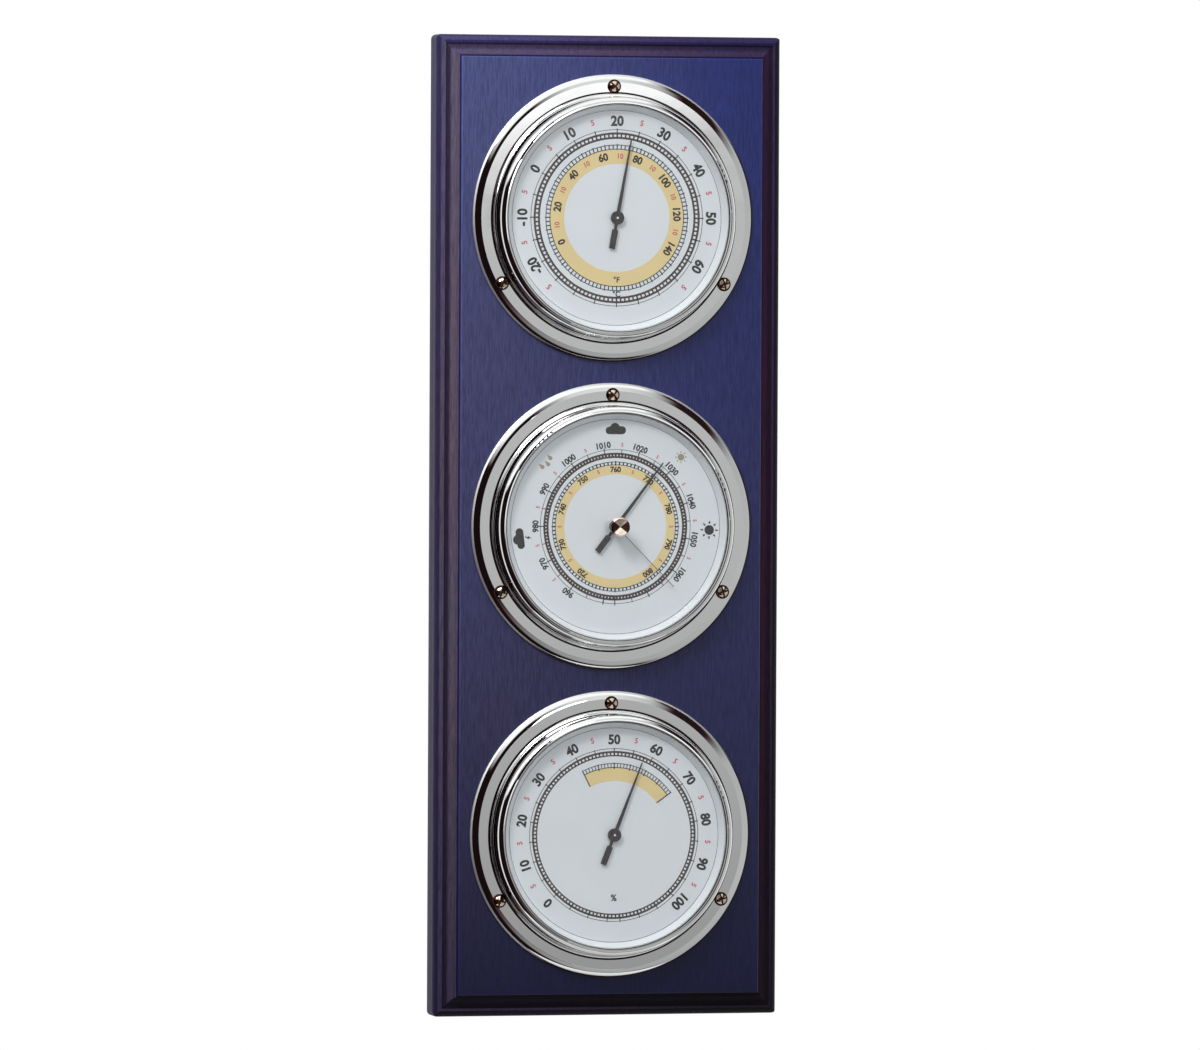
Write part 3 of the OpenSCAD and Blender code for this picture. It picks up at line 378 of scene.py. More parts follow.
def chrome(s):
    m, n = newMaterial("chrome")
    (low, high), (faceLow, faceHigh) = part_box("thermometer_case"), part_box("thermometer_bezel")
    outer, foot = (high.x - low.x)/2, (faceHigh.x - faceLow.x)/2
    inner = foot + (high.x - faceHigh.x)*s["slopeFrom"]
    middle = dialCentre("barometer")
    apart = dialCentre("thermometer").z - middle.z
    place = n.split(n.place(centre=middle))
    # Height above the middle of the nearest instrument, and the radius round it
    share = n.math("FRACT", n.math("ADD", n.math("DIVIDE", place["Z"], apart), 1.5))
    up = n.math("MULTIPLY", n.math("SUBTRACT", share, 0.5), apart)
    radius = n.reach(place["X"], up)
    across = n.math("DIVIDE", n.math("SUBTRACT", radius, (inner + outer)/2), (outer - inner)/2)
    across = n.math("MINIMUM", n.math("ABSOLUTE", across), 1.0)
    crown = n.math("SUBTRACT", 1.0, n.math("POWER", across, 2.0))
    height = n.math("ADD", n.math("MULTIPLY", crown, s["slopeRound"]),
                    n.math("MULTIPLY", n.noise(*s["waves"]), s["waveDepth"]))
    # Painted shade: dark lines at the bezel's joint, at the flange's rim away from the light and at
    # the lip's edge
    joint = n.between(radius, foot, foot + s["joint"], s["soft"])
    rim = n.math("MULTIPLY", n.step(radius, outer - s["rim"] - s["soft"], outer - s["rim"]),
                 n.step(n.math("SUBTRACT", place["X"], up), 0.0, outer/2))
    lip = n.step(radius, s["lip"], s["lip"] + s["soft"], 1, 0)
    shade = n.blend(n.step(n.noise(*s["fine"]), *s["wornShows"]), s["colour"], s["worn"])
    polish = n.step(n.noise(*s["patches"]), *s["glossShows"], *s["roughness"])
    edge = n.step(radius, outer - s["buffed"] - s["soft"], outer - s["buffed"],
                  0, s["edgeRoughness"])
    closeMaterial(n, {
        "Base Color": n.blend(n.most(joint, rim, lip), shade, s["line"]), "Metallic": 1.0,
        "Roughness": n.most(polish, edge), "Normal": n.bump(height, 1.0)})
    return m


# The knob's turned face: a shallow cone whose fine rings spread the light outward, with a painted
# reflection that is dark at the left and the right beyond a share of the radius
knobLook = {
    "colour": (0.98, 0.80, 0.69, 1), "worn": (0.735, 0.60, 0.5175, 1),
    "dark": (0.045, 0.02, 0.012, 1), "sector": (0.70, 0.84),
    "patches": (300.0, 3, 0.5), "patchShows": (0.3, 0.7), "wornMost": 0.3,
    "roughness": (0.2, 0.26), "cone": 0.15, "anisotropy": 0.85,
}


def turnedBrass(s):
    m, n = newMaterial("knobBrass")
    low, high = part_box("barometer_setting_knob")
    place = n.place(centre=(low + high)/2)
    flat = n.split(place)
    radius = n.reach(flat["X"], flat["Z"])
    along = n.add("ShaderNodeVectorMath", operation="CROSS_PRODUCT")
    n.feed(along.inputs[0], place)
    along.inputs[1].default_value = (0, 1, 0)
    patch = n.noise(*s["patches"])
    # Painted reflection: dark sectors at the left and the right of the face
    sector = n.math("DIVIDE", n.math("ABSOLUTE", flat["X"]), n.most(radius, 0.0001))
    shade = n.blend(n.step(patch, *s["patchShows"], 0, s["wornMost"]), s["colour"], s["worn"])
    closeMaterial(n, {
        "Base Color": n.blend(n.step(sector, *s["sector"]), shade, s["dark"]), "Metallic": 1.0,
        "Roughness": n.step(patch, *s["patchShows"], *s["roughness"]),
        "Normal": n.bump(n.math("MULTIPLY", radius, -s["cone"]), 1.0),
        "Anisotropic": s["anisotropy"], "Tangent": along.outputs[0]})
    return m


# Brushed brass and steel, a little worn along the brush marks and tarnished in patches
brushLook = {
    "lines": (900.0, 3, 0.6), "linesShow": (0.3, 0.75, 0, 0.35), "worn": 0.7,
    "patches": (35.0, 4, 0.6), "tarnishShows": (0.4, 0.8, 0, 0.2), "tarnish": (0.25, 0.2, 0.14, 1),
    "glossShows": (0.2, 0.8), "spread": 0.15, "depth": 0.00001, "bump": 0.5,
}


def brushedMetal(name, colour, roughness, stretch, s=brushLook):
    m, n = newMaterial(name)
    lines = n.noise(*s["lines"], stretch)
    shade = n.blend(n.step(lines, *s["linesShow"]), colour, shaded(colour, s["worn"]))
    stained = n.step(n.noise(*s["patches"]), *s["tarnishShows"])
    closeMaterial(n, {
        "Base Color": n.blend(stained, shade, s["tarnish"]), "Metallic": 1.0,
        "Roughness": n.step(lines, *s["glossShows"], roughness, roughness + s["spread"]),
        "Normal": n.bump(lines, s["depth"], s["bump"])})
    return m


# Paint and ink: mottle is how much darker its patches are, shine its specular level
paintLook = {
    "patches": (55.0, 3, 0.5), "patchShows": (0.3, 0.7), "grain": (2600.0, 2, 0.5),
    "grainShows": (0.2, 0.8), "spread": (-0.04, 0.06), "bump": 0.5,
}


def paint(name, colour, roughness, mottle=0.06, grainDepth=0.000004, shine=0.5, s=paintLook):
    m, n = newMaterial(name)
    patch = n.step(n.noise(*s["patches"]), *s["patchShows"])
    grain = n.noise(*s["grain"])
    rough = n.step(grain, *s["grainShows"], *(roughness + d for d in s["spread"]))
    closeMaterial(n, {
        "Base Color": n.blend(patch, colour, shaded(colour, 1 - mottle)), "Roughness": rough,
        "Specular IOR Level": shine, "Normal": n.bump(grain, grainDepth, s["bump"])})
    return m


# Glass, faintly smeared, which lets the lamps' light through to the dial
glassLook = {
    "tint": (0.985, 1.0, 0.99, 1), "ior": 1.48, "specular": 0.15,
    "smear": (22.0, 3, 0.5), "smearShows": (0.55, 0.8, 0.0, 0.015),
    "through": (0.97, 0.98, 0.975, 1),
}


def clearGlass(s):
    m, n = newMaterial("clearGlass")
    shader = n.add("ShaderNodeBsdfPrincipled", {
        "Base Color": s["tint"], "Transmission Weight": 1.0, "IOR": s["ior"],
        "Specular IOR Level": s["specular"],
        "Roughness": n.step(n.noise(*s["smear"]), *s["smearShows"])})
    clear = n.add("ShaderNodeBsdfTransparent", {"Color": s["through"]})
    path = n.add("ShaderNodeLightPath").outputs
    closeMixed(n, n.most(path["Is Shadow Ray"], path["Is Diffuse Ray"]), shader, clear)
    return m


finishes = {
    "wood": stainedWood(woodLook),
    "chrome": chrome(chromeLook),
    "glass": clearGlass(glassLook),
    "dial": paint("dialPaint", (0.865, 0.90, 0.965, 1), 0.5, 0.02),
    "dial_ring": paint("ringPaint", (0.845, 0.875, 0.925, 1), 0.42, 0.03),
    "black_paint": paint("blackPaint", (0.016, 0.009, 0.012, 1), 0.5, 0.3, 0.00001, 0.12),
    "screw_brass": screwBrass(screwLook),
    "knob_brass": turnedBrass(knobLook),
    "brass": brushedMetal("brass", (0.74, 0.55, 0.25, 1), 0.26, (1, 1, 0.05)),
    "steel": brushedMetal("steel", (0.56, 0.57, 0.58, 1), 0.3, (0.05, 1, 1)),
    "fibre": paint("fibre", (0.72, 0.66, 0.52, 1), 0.7, 0.2, 0.00002),
}
for part in frame["record"]["subparts"]:
    for seat in nodes[part["node"]].material_slots:
        seat.material = finishes[part["material_slot"]]
# The setting hand is dark
handSteel = brushedMetal("handSteel", (0.07, 0.07, 0.072, 1), 0.35, (1, 1, 0.1))
for seat in nodes["barometer_setting_hand"].material_slots:
    seat.material = handSteel
print("finishes given to the solids")


# Inks, and how they lie: a layer is this thick, and the first is lifted off the dial's face. Type
# is set this much larger than its figures are high, and then squeezed. A band turns in steps of some
# degrees, and points closer than the weld are joined
inks = {
    "dark": paint("darkInk", (0.008, 0.006, 0.007, 1), 0.6, 0.2, shine=0.1),
    "brown": paint("brownInk", (0.060, 0.036, 0.034, 1), 0.6, 0.2, shine=0.1),
    "red": paint("redInk", (0.68, 0.09, 0.12, 1), 0.55, 0.1),
    "amber": paint("amberInk", (0.92, 0.715, 0.34, 1), 0.55, 0.04),
    "pale": paint("paleInk", (0.40, 0.33, 0.24, 1), 0.55, 0.1),
}
film = {"thick": 0.00003, "lift": 0.00001, "typeSize": 1.38, "squeeze": 0.95, "curveSteps": 3,
        "bandStep": 1.5, "weld": 1e-7}


# Angles on a dial are in degrees clockwise from the top
def around(centre, radius, angle, y):
    a = math.radians(angle)
    return Vector((centre.x + radius*math.sin(a), y, centre.z + radius*math.cos(a)))


def layerBack(centre, layer):
    return centre.y - film["lift"] - layer*film["thick"]


def meshObject(name, bm, material):
    mesh = bpy.data.meshes.new(name)
    bmesh.ops.recalc_face_normals(bm, faces=bm.faces)
    for face in bm.faces:
        face.material_index = 0
    bm.to_mesh(mesh)
    bm.free()
    mesh.materials.append(material)
    obj = bpy.data.objects.new(name, mesh)
    bpy.context.scene.collection.objects.link(obj)
    return obj


def evaluatedMesh(obj):
    graph = bpy.context.evaluated_depsgraph_get()
    return bpy.data.meshes.new_from_object(obj.evaluated_get(graph))


def addBand(bm, centre, inner, outer, start=0.0, sweep=360.0, layer=0):
    back = layerBack(centre, layer)
    front = back - film["thick"]
    closed = sweep >= 360
    count = int(sweep/film["bandStep"])
    rows = []
    for i in range(count if closed else count + 1):
        a = start + sweep*i/count
        rows.append([bm.verts.new(around(centre, r, a, y)) for r, y in
                     ((inner, front), (outer, front), (outer, back), (inner, back))])
    for i in range(count):
        a, b = rows[i], rows[(i + 1) % len(rows)]
        for k in range(4):
            bm.faces.new((a[k], a[(k + 1) % 4], b[(k + 1) % 4], b[k]))
    if not closed:
        bm.faces.new(rows[0])
        bm.faces.new(rows[-1])


def textMesh(body, height, weight):
    curve = bpy.data.curves.new("figure", "FONT")
    curve.body = body
    curve.align_x = "CENTER"
    curve.align_y = "CENTER"
    curve.size = height*film["typeSize"]
    curve.extrude = film["thick"]/2
    curve.offset = weight
    curve.resolution_u = film["curveSteps"]
    obj = bpy.data.objects.new("figure", curve)
    bpy.context.scene.collection.objects.link(obj)
    mesh = evaluatedMesh(obj)
    bpy.data.objects.remove(obj)
    bpy.data.curves.remove(curve)
    xs = [v.co.x for v in mesh.vertices]
    ys = [v.co.y for v in mesh.vertices]
    middle = Vector(((min(xs) + max(xs))/2, (min(ys) + max(ys))/2, 0))
    squeeze = Matrix.Diagonal((film["squeeze"], 1, 1, 1))
    mesh.transform(squeeze @ Matrix.Translation(-middle))
    return mesh


def addText(bm, centre, body, radius, angle, height, weight, turn):
    mesh = textMesh(body, height, weight)
    upright = Matrix.Rotation(math.radians(90), 4, "X")
    spin = Matrix.Rotation(math.radians(turn), 4, "Y")
    spot = around(centre, radius, angle, layerBack(centre, 1.5))    # the middle of layer 1
    mesh.transform(Matrix.Translation(spot) @ spin @ upright)
    bm.from_mesh(mesh)
    bpy.data.meshes.remove(mesh)


def addPlate(bm, centre, points):
    back = layerBack(centre, 1)
    rims = [[bm.verts.new((centre.x + x, y, centre.z + z)) for x, z in points]
            for y in (back - film["thick"], back)]
    bm.faces.new(rims[0])
    bm.faces.new(list(reversed(rims[1])))
    for i in range(len(points)):
        j = (i + 1) % len(points)
        bm.faces.new((rims[0][i], rims[1][i], rims[1][j], rims[0][j]))


# Plain weather signs, in shares of a sign's size. Rounds are x, z, radius, and where the arc
# starts and ends; rays are how far out and half how wide at their foot and at their tip
signs = {
    "cloud": ((-0.62, -0.05, 0.36, -170, 10), (-0.08, 0.2, 0.46, -70, 65),
              (0.6, -0.03, 0.38, -20, 170)),
    "cloudSteps": 14,
    "dropTip": 0.62, "drop": (0, -0.15, 0.32, 75, 285), "dropSteps": 18,
    "bolt": ((0.1, 0.5), (-0.28, -0.02), (-0.04, -0.02), (-0.16, -0.5), (0.28, 0.1), (0.04, 0.1),
             (0.3, 0.5)),
    "sun": (0, 0, 1, 0, 345), "sunSteps": 23, "rays": 8, "rayFoot": (1.3, 0.2),
    "rayTip": (1.85, 0.08),
}


def arc(size, x, z, radius, start, end, count):
    turns = [math.radians(start + (end - start)*i/count) for i in range(count + 1)]
    return [(size*(x + radius*math.sin(t)), size*(z + radius*math.cos(t))) for t in turns]


def cloudPlates(size, s):
    return [[p for hump in s["cloud"] for p in arc(size, *hump, s["cloudSteps"])]]


def dropPlates(size, s):
    return [[(0, s["dropTip"]*size)] + arc(size, *s["drop"], s["dropSteps"])]


def boltPlates(size, s):
    return [[(x*size, z*size) for x, z in s["bolt"]]]


def sunPlates(size, s):
    plates = [arc(size, *s["sun"], s["sunSteps"])]
    (footR, footW), (tipR, tipW) = s["rayFoot"], s["rayTip"]
    for i in range(s["rays"]):
        a = math.radians(360*i/s["rays"])
        along, side = Vector((math.sin(a), math.cos(a))), Vector((math.cos(a), -math.sin(a)))
        plates.append([size*(along*r + side*w) for r, w in
                       ((footR, footW), (tipR, tipW), (tipR, -tipW), (footR, -footW))])
    return plates


signPlates = {"cloud": cloudPlates, "drop": dropPlates, "bolt": boltPlates, "sun": sunPlates}


# A sign is drawn upright and then turned to stand on its ray
def addSign(bm, centre, kind, radius, angle, size):
    sine, cosine = math.sin(math.radians(angle)), math.cos(math.radians(angle))
    for plate in signPlates[kind](size, signs):
        addPlate(bm, centre, [(x*cosine + (radius + z)*sine, (radius + z)*cosine - x*sine)
                              for x, z in plate])


# Springy pieces of the works, each cut across all along. Listed but not used here: the moving part
# it would follow, up to "held" it would stay with the plates, from there to "free" turn over to the
# moving part, and beyond follow it. Metres from the piece's lowest point
flexing = {
    "barometer_main_spring": {"moving": "barometer_post", "slot": "steel", "held": 0.004,
                              "free": 0.024, "cuts": 40},
    "hygrometer_fibre": {"moving": "hygrometer_sector_wheel", "slot": "fibre", "held": 0.030,
                         "free": 0.0415, "cuts": 60},
}


def addFlexing(node, s):
    low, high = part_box(node)
    bm = bmesh.new()
    bm.from_mesh(nodes[node].data)
    for i in range(1, s["cuts"]):
        z = low.z + (high.z - low.z)*i/s["cuts"]
        bmesh.ops.bisect_plane(bm, geom=bm.verts[:] + bm.edges[:] + bm.faces[:],
                               plane_co=(0, 0, z), plane_no=(0, 0, 1))
    obj = meshObject(node + "_bending", bm, finishes[s["slot"]])
    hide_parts(node)
    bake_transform(obj)


for node, sizes in flexing.items():
    addFlexing(node, sizes)


# A row of equal strokes round a centre, as Geometry Nodes
def strokeTree():
    tree = bpy.data.node_groups.new("strokesRoundDial", "GeometryNodeTree")
    face = tree.interface
    face.new_socket("Geometry", in_out="OUTPUT", socket_type="NodeSocketGeometry")
    for name, kind in (("Centre", "Vector"), ("Count", "Int"), ("Start", "Float"),
                       ("Step", "Float"), ("Radius", "Float"), ("Size", "Vector"),
                       ("Ink", "Material")):
        face.new_socket(name, in_out="INPUT", socket_type="NodeSocket" + kind)
    made, link = tree.nodes, tree.links
    given = made.new("NodeGroupInput").outputs
    out = made.new("NodeGroupOutput")

    def calc(operation, a, b=None):
        n = made.new("ShaderNodeMath")
        n.operation = operation
        for socket, value in zip(n.inputs, (a, b)):
            if value is not None:
                link.new(value, socket)
        return n.outputs[0]

    index = made.new("GeometryNodeInputIndex").outputs[0]
    angle = calc("RADIANS", calc("ADD", calc("MULTIPLY", index, given["Step"]), given["Start"]))
    spot = made.new("ShaderNodeCombineXYZ")
    link.new(calc("MULTIPLY", calc("SINE", angle), given["Radius"]), spot.inputs["X"])
    link.new(calc("MULTIPLY", calc("COSINE", angle), given["Radius"]), spot.inputs["Z"])
    where = made.new("ShaderNodeVectorMath")
    link.new(spot.outputs[0], where.inputs[0])
    link.new(given["Centre"], where.inputs[1])
    points = made.new("GeometryNodePoints")
    link.new(given["Count"], points.inputs["Count"])
    link.new(where.outputs[0], points.inputs["Position"])
    turn = made.new("ShaderNodeCombineXYZ")
    link.new(angle, turn.inputs["Y"])
    stroke = made.new("GeometryNodeMeshCube")
    link.new(given["Size"], stroke.inputs["Size"])
    rows = made.new("GeometryNodeInstanceOnPoints")
    link.new(points.outputs[0], rows.inputs["Points"])
    link.new(stroke.outputs["Mesh"], rows.inputs["Instance"])
    link.new(turn.outputs[0], rows.inputs["Rotation"])
    real = made.new("GeometryNodeRealizeInstances")
    link.new(rows.outputs[0], real.inputs[0])
    inked = made.new("GeometryNodeSetMaterial")
    link.new(real.outputs[0], inked.inputs["Geometry"])
    link.new(given["Ink"], inked.inputs["Material"])
    link.new(inked.outputs[0], out.inputs[0])
    return tree


strokes = strokeTree()


def addStrokes(bm, centre, ink, count, start, step, inner, outer, width, layer):
    obj = bpy.data.objects.new("strokes", bpy.data.meshes.new("strokes"))
    bpy.context.scene.collection.objects.link(obj)
    rows = obj.modifiers.new("strokes", "NODES")
    rows.node_group = strokes
    middle = (centre.x, layerBack(centre, layer + 0.5), centre.z)
    values = {"Centre": middle, "Count": count, "Start": start, "Step": step,
              "Radius": (inner + outer)/2, "Size": (width, film["thick"], outer - inner),
              "Ink": ink}
    for item in strokes.interface.items_tree:
        if item.in_out == "INPUT":
            rows[item.identifier] = values[item.name]
    mesh = evaluatedMesh(obj)
    obj.modifiers.clear()
    bm.from_mesh(mesh)
    bpy.data.objects.remove(obj)
    bpy.data.meshes.remove(mesh)



# The scales, by ink, in mm. A unit is its degrees round the dial, and the value at the top.
# figures: the values, their unit, radius, height and added weight, and the text if not the value
# upright: a text at the foot, its radius, height and added weight
# lines, bands: radius and half width, or inner and outer radius; on an arc its start, sweep, layer
# ticks: how many, the first one's angle, the step, inner and outer radius, width and layer
# signs: which, radius, angle and size
thermometerScale = {
    "units": {"celsius": (3.0, 20), "fahrenheit": (5/3, 68)},
    "dark": {
        "figures": ((range(-20, 61, 10), "celsius", 49.3, 5.1, 0.26),
                    (range(0, 141, 20), "fahrenheit", 31.4, 3.8, 0.2)),
        "upright": (("°F", 31.4, 2.9, 0.1), ("°C", 38.7, 2.9, 0.1)),
        "lines": ((44.8, 0.14), (34.9, 0.2), (37.0, 0.2)),
        "bands": ((54.5, 54.7),),
        "ticks": ((24, 0, 15, 40.2, 45.4, 0.5, 2), (108, 0, 360/108, 34.9, 37.0, 0.55, 1),
                  (36, 0, 10, 34.6, 37.6, 0.5, 2)),
    },
    "brown": {"bands": ((40.1, 41.15), (42.35, 43.4)),
              "ticks": ((120, 0, 3, 41.15, 42.35, 0.8, 1),)},
    "red": {"figures": ((range(-25, 66, 10), "celsius", 49.8, 2.9, 0.12, "5"),
                        (range(10, 140, 20), "fahrenheit", 31.4, 2.6, 0.1, "10"))},
    "amber": {"bands": ((27.5, 34.7),)},
}

# Hectopascals outside, millimetres of mercury inside, and plain weather signs
firstTick = -170.775         # degrees, at 950 hectopascals
barometerScale = {
    "units": {"hectopascal": (2.7, 1013.25), "mercury": (3.6, 760)},
    "dark": {
        "figures": ((range(960, 1061, 10), "hectopascal", 41.7, 3.1, 0.15),
                    (range(720, 801, 10), "mercury", 29.1, 2.8, 0.16)),
        "lines": ((39.2, 0.12), (31.4, 0.17), (32.9, 0.17)),
        "bands": ((54.5, 54.7),),
        "ticks": ((27, firstTick, 13.5, 37.2, 39.5, 0.35, 2),
                  (14, firstTick, 27.0, 36.0, 40.1, 0.5, 2),
                  (100, 0, 3.6, 31.4, 32.9, 0.7, 1), (20, 0, 18, 31.0, 33.4, 0.45, 2)),
        "signs": (("cloud", 49.2, 0, 5.4), ("cloud", 50.2, -97, 5.4), ("bolt", 45.6, -97, 3.4),
                  ("sun", 49.2, 92, 2.5)),
    },
    "brown": {"bands": ((34.9, 35.9), (36.6, 37.6)),
              "ticks": ((133, 0, 360/133, 35.9, 36.6, 1.1, 1),)},
    "red": {"figures": ((range(725, 800, 10), "mercury", 29.1, 1.9, 0.07, "5"),
                        (range(965, 1060, 10), "hectopascal", 41.7, 1.9, 0.07, "5"))},
    "amber": {"bands": ((26.7, 31.1),)},
    "pale": {"signs": (("sun", 49.2, 44, 1.7), ("drop", 49.2, -51.6, 3.2),
                       ("drop", 47.8, -48, 3.2), ("drop", 49.2, -44.4, 3.2))},
}

# Percent, with an amber arc over the comfortable range, from its start by its sweep
comfort = (-27.0, 81.0)
hygrometerScale = {
    "units": {"percent": (2.7, 50)},
    "dark": {
        "figures": ((range(0, 101, 10), "percent", 48.7, 4.8, 0.26),),
        "upright": (("%", 32.0, 3.4, 0.12),),
        "lines": ((44.0, 0.14), (34.4, 0.2, *comfort, 1), (36.5, 0.17, *comfort, 1)),
        "bands": ((54.5, 54.7),),
        "ticks": ((27, -175.5, 13.5, 40.4, 44.4, 0.45, 2),
                  (31, comfort[0], 2.7, 34.4, 36.5, 0.4, 1),
                  (7, comfort[0], 13.5, 33.6, 36.9, 0.55, 2), (2, *comfort, 27.6, 36.5, 0.55, 2)),
    },
    "brown": {"bands": ((40.1, 40.8), (41.8, 42.8)),
              "ticks": ((133, 0, 360/133, 40.8, 41.8, 0.8, 1),)},
    "red": {"figures": ((range(5, 100, 10), "percent", 49.3, 2.8, 0.1, "5"),)},
    "amber": {"bands": ((27.6, 34.3, *comfort),)},
}


def printOn(instrument, ink, rows, units):
    centre = dialCentre(instrument)
    bm = bmesh.new()
    for values, unit, radius, height, weight, *text in rows.get("figures", ()):
        perUnit, top = units[unit]
        for v in values:
            a = (v - top)*perUnit
            addText(bm, centre, text[0] if text else str(v), radius*mm, a, height*mm, weight*mm, a)
    for text, radius, height, weight in rows.get("upright", ()):
        addText(bm, centre, text, radius*mm, 180, height*mm, weight*mm, 0)
    for radius, half, *onArc in rows.get("lines", ()):
        addBand(bm, centre, (radius - half)*mm, (radius + half)*mm, *onArc)
    for inner, outer, *onArc in rows.get("bands", ()):
        addBand(bm, centre, inner*mm, outer*mm, *onArc)
    for count, start, step, inner, outer, width, layer in rows.get("ticks", ()):
        addStrokes(bm, centre, inks[ink], count, start, step, inner*mm, outer*mm, width*mm, layer)
    for kind, radius, angle, size in rows.get("signs", ()):
        addSign(bm, centre, kind, radius*mm, angle, size*mm)
    bmesh.ops.remove_doubles(bm, verts=bm.verts, dist=film["weld"])
    obj = meshObject(instrument + "_" + ink + "_print", bm, inks[ink])
    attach(obj, staticBody)


for instrument, scale in (("thermometer", thermometerScale), ("barometer", barometerScale),
                          ("hygrometer", hygrometerScale)):
    for ink in inks:
        if ink in scale:
            printOn(instrument, ink, scale[ink], scale["units"])
print("scales printed")


# Room: a pale floor that runs out into the white background, a broad lamp at the upper left, a weak
# one in front, and a world whose front half is the studio that the metal mirrors. Lamps stand in
# metres from the middle of the board's face
room = {
    "floorDrop": 0.7, "floorSize": 0.7, "floorColour": (0.80, 0.80, 0.79, 1),
    "floorPatch": (0.77, 0.77, 0.765, 1), "patches": (3.0, 3, 0.5), "floorRoughness": 0.8,
    "floorSides": 64, "floorFade": (0.4, 0.679),     # where it runs out
    "key": {"at": (-0.85, -1.05, 1.15), "size": (0.45, 0.45), "power": 11.0},
    "haze": {"at": (0.03, -1.28, 0.40), "size": (0.3, 0.3), "power": 1.5},
    # What flat chrome mirrors, from the foot of the board to its top
    "flatX": 0.232, "flatZ": -0.021, "flatLow": (-0.105, 0.25), "flatHigh": (-0.01, 0.56),
    # The studio round that direction: turns clockwise from the top, and the level there, near
    # it and farther out
    "close": ((0.0, 0.75), (0.06, 0.7), (0.10, 0.02), (0.38, 0.02), (0.43, 0.5), (0.53, 0.5),
              (0.57, 0.02), (0.92, 0.02), (0.95, 0.75), (1.0, 0.75)),
    "near": ((0.0, 0.9), (0.05, 0.6), (0.08, 0.02), (0.13, 0.02), (0.17, 0.50), (0.30, 0.56),
             (0.45, 0.45), (0.53, 0.42), (0.60, 0.25), (0.67, 0.01), (0.90, 0.01), (0.95, 0.8),
             (1.0, 0.9)),
    "far": ((0.0, 1.2), (0.035, 1.2), (0.065, 0.02), (0.12, 0.02), (0.16, 0.56), (0.30, 0.60),
            (0.38, 0.50), (0.44, 0.42), (0.47, 0.01), (0.82, 0.01), (0.86, 1.2), (1.0, 1.2)),
    "most": 1.35, "ringEdges": ((0.20, 0.24), (0.36, 0.42), (0.66, 0.74), (0.90, 0.96)),
    # Beyond the rings a pale panel at the left, up to a height, and round the flat direction a
    # lit field above a leaning line
    "panelX": (-0.45, -0.6), "panelZ": (0.30, 0.42),
    "fieldLean": 0.25, "fieldFrom": (0.013, 0.024), "fieldReach": (0.24, 0.28),
    # The dark parts are tinted, and what lies behind is one plain level
    "darkTint": (1, 0.45, 0.55, 1), "darkUpTo": 0.25, "behind": 0.3, "behindFrom": (-0.05, 0.15),
}


def makeFloor(s):
    bm = bmesh.new()
    bmesh.ops.create_circle(bm, cap_ends=True, segments=s["floorSides"], radius=s["floorSize"])
    for v in bm.verts:
        v.co.z = boardLow.z - s["floorDrop"]
    m, n = newMaterial("paleFloor")
    shader = n.add("ShaderNodeBsdfPrincipled", {
        "Base Color": n.blend(n.noise(*s["patches"]), s["floorColour"], s["floorPatch"]),
        "Roughness": s["floorRoughness"]})
    white = n.add("ShaderNodeEmission", {"Color": (1, 1, 1, 1), "Strength": 1.0})
    place = n.split(n.place())
    path = n.add("ShaderNodeLightPath").outputs
    seen = n.most(path["Is Camera Ray"], path["Is Glossy Ray"], path["Is Transmission Ray"])
    fade = n.step(n.reach(place["X"], place["Y"]), *s["floorFade"])
    closeMixed(n, n.math("MULTIPLY", fade, seen), shader, white)
    floor = meshObject("floor", bm, m)
    for face in floor.data.polygons:
        if face.normal.z < 0:
            face.flip()


def makeLamp(name, s):
    data = bpy.data.lights.new(name, "AREA")
    data.shape = "RECTANGLE"
    data.size, data.size_y = s["size"]
    data.energy = s["power"]
    obj = bpy.data.objects.new(name, data)
    spot = faceMid + Vector(s["at"])
    turn = (spot - faceMid).to_track_quat("Z", "Y").to_matrix().to_4x4()
    obj.matrix_world = Matrix.Translation(spot) @ turn
    bpy.context.scene.collection.objects.link(obj)


def studioRing(n, turns, rows, most):
    shares = n.ramp(turns, [(at, (level,)*3) for at, level in rows], most)
    return n.math("MULTIPLY", shares, most)


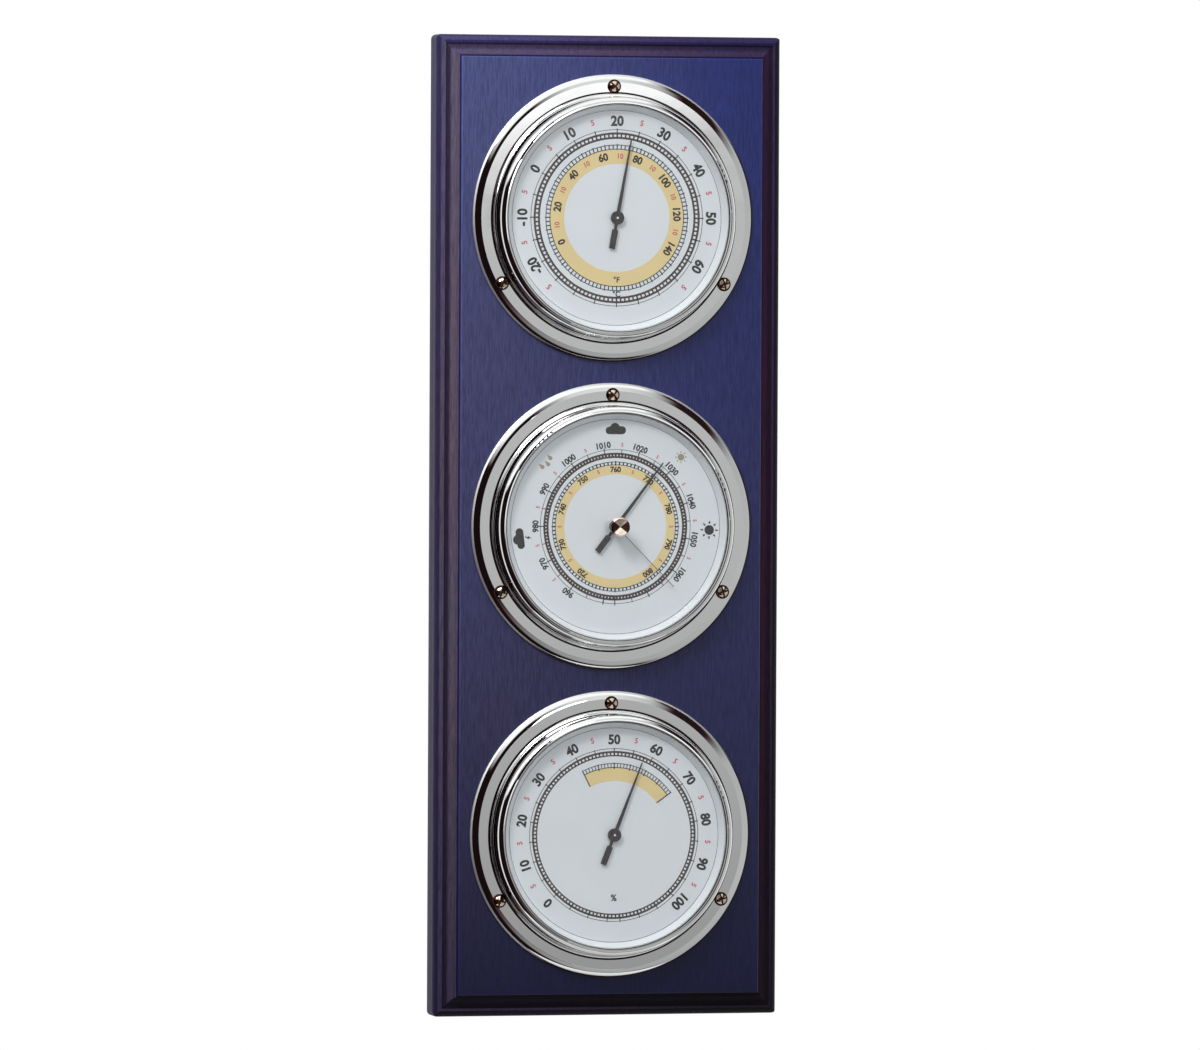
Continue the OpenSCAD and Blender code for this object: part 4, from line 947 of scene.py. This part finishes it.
def makeWorld(s):
    world = bpy.data.worlds.new("studio")
    world.use_nodes = True
    bpy.context.scene.world = world
    n = Nodes(world.node_tree)
    way = n.split(n.add("ShaderNodeTexCoord").outputs["Generated"])
    x, y, z = way["X"], way["Y"], way["Z"]
    acrossX = n.math("SUBTRACT", x, s["flatX"])
    acrossZ = n.math("SUBTRACT", z, s["flatZ"])
    turns = n.math("DIVIDE", n.math("ARCTAN2", acrossX, acrossZ), 2*math.pi)
    turns = n.math("FRACT", n.math("ADD", turns, 1.0))
    away = n.reach(acrossX, acrossZ)
    close, near, far = (studioRing(n, turns, s[k], s["most"]) for k in ("close", "near", "far"))
    panel = n.math("MULTIPLY", n.step(x, *s["panelX"]), n.step(z, *s["panelZ"], 0, s["most"]))
    (lowAt, low), (highAt, high) = s["flatLow"], s["flatHigh"]
    level = n.step(z, lowAt, highAt, low, high)
    for edges, beyond in zip(s["ringEdges"], (close, near, far, n.most(far, panel))):
        level = n.mixLevel(n.step(away, *edges), level, beyond)
    lean = n.math("MULTIPLY", n.math("SUBTRACT", s["flatX"], x), s["fieldLean"])
    field = n.math("MULTIPLY", n.step(n.math("ADD", z, lean), *s["fieldFrom"]),
                   n.step(away, *s["fieldReach"], 1, 0))
    front = n.most(level, n.math("MULTIPLY", field, s["most"]))
    behind = n.step(y, *s["behindFrom"])
    strength = n.mixLevel(behind, front, s["behind"])
    seen = n.add("ShaderNodeLightPath").outputs
    mirrored = n.math("MULTIPLY", seen["Is Glossy Ray"], behind)
    tint = n.blend(n.step(strength, 0.0, s["darkUpTo"]), s["darkTint"], grey(1))
    lit = n.add("ShaderNodeBackground", {"Color": tint, "Strength": strength})
    white = n.add("ShaderNodeBackground", {"Color": grey(1), "Strength": 1.0})
    closeMixed(n, n.most(seen["Is Camera Ray"], mirrored, seen["Is Transmission Ray"]), lit, white,
               "ShaderNodeOutputWorld")


makeFloor(room)
makeLamp("keyLamp", room["key"])
makeLamp("hazeLamp", room["haze"])
makeWorld(room)
bpy.context.scene.view_settings.view_transform = "Standard"
print("room lit")
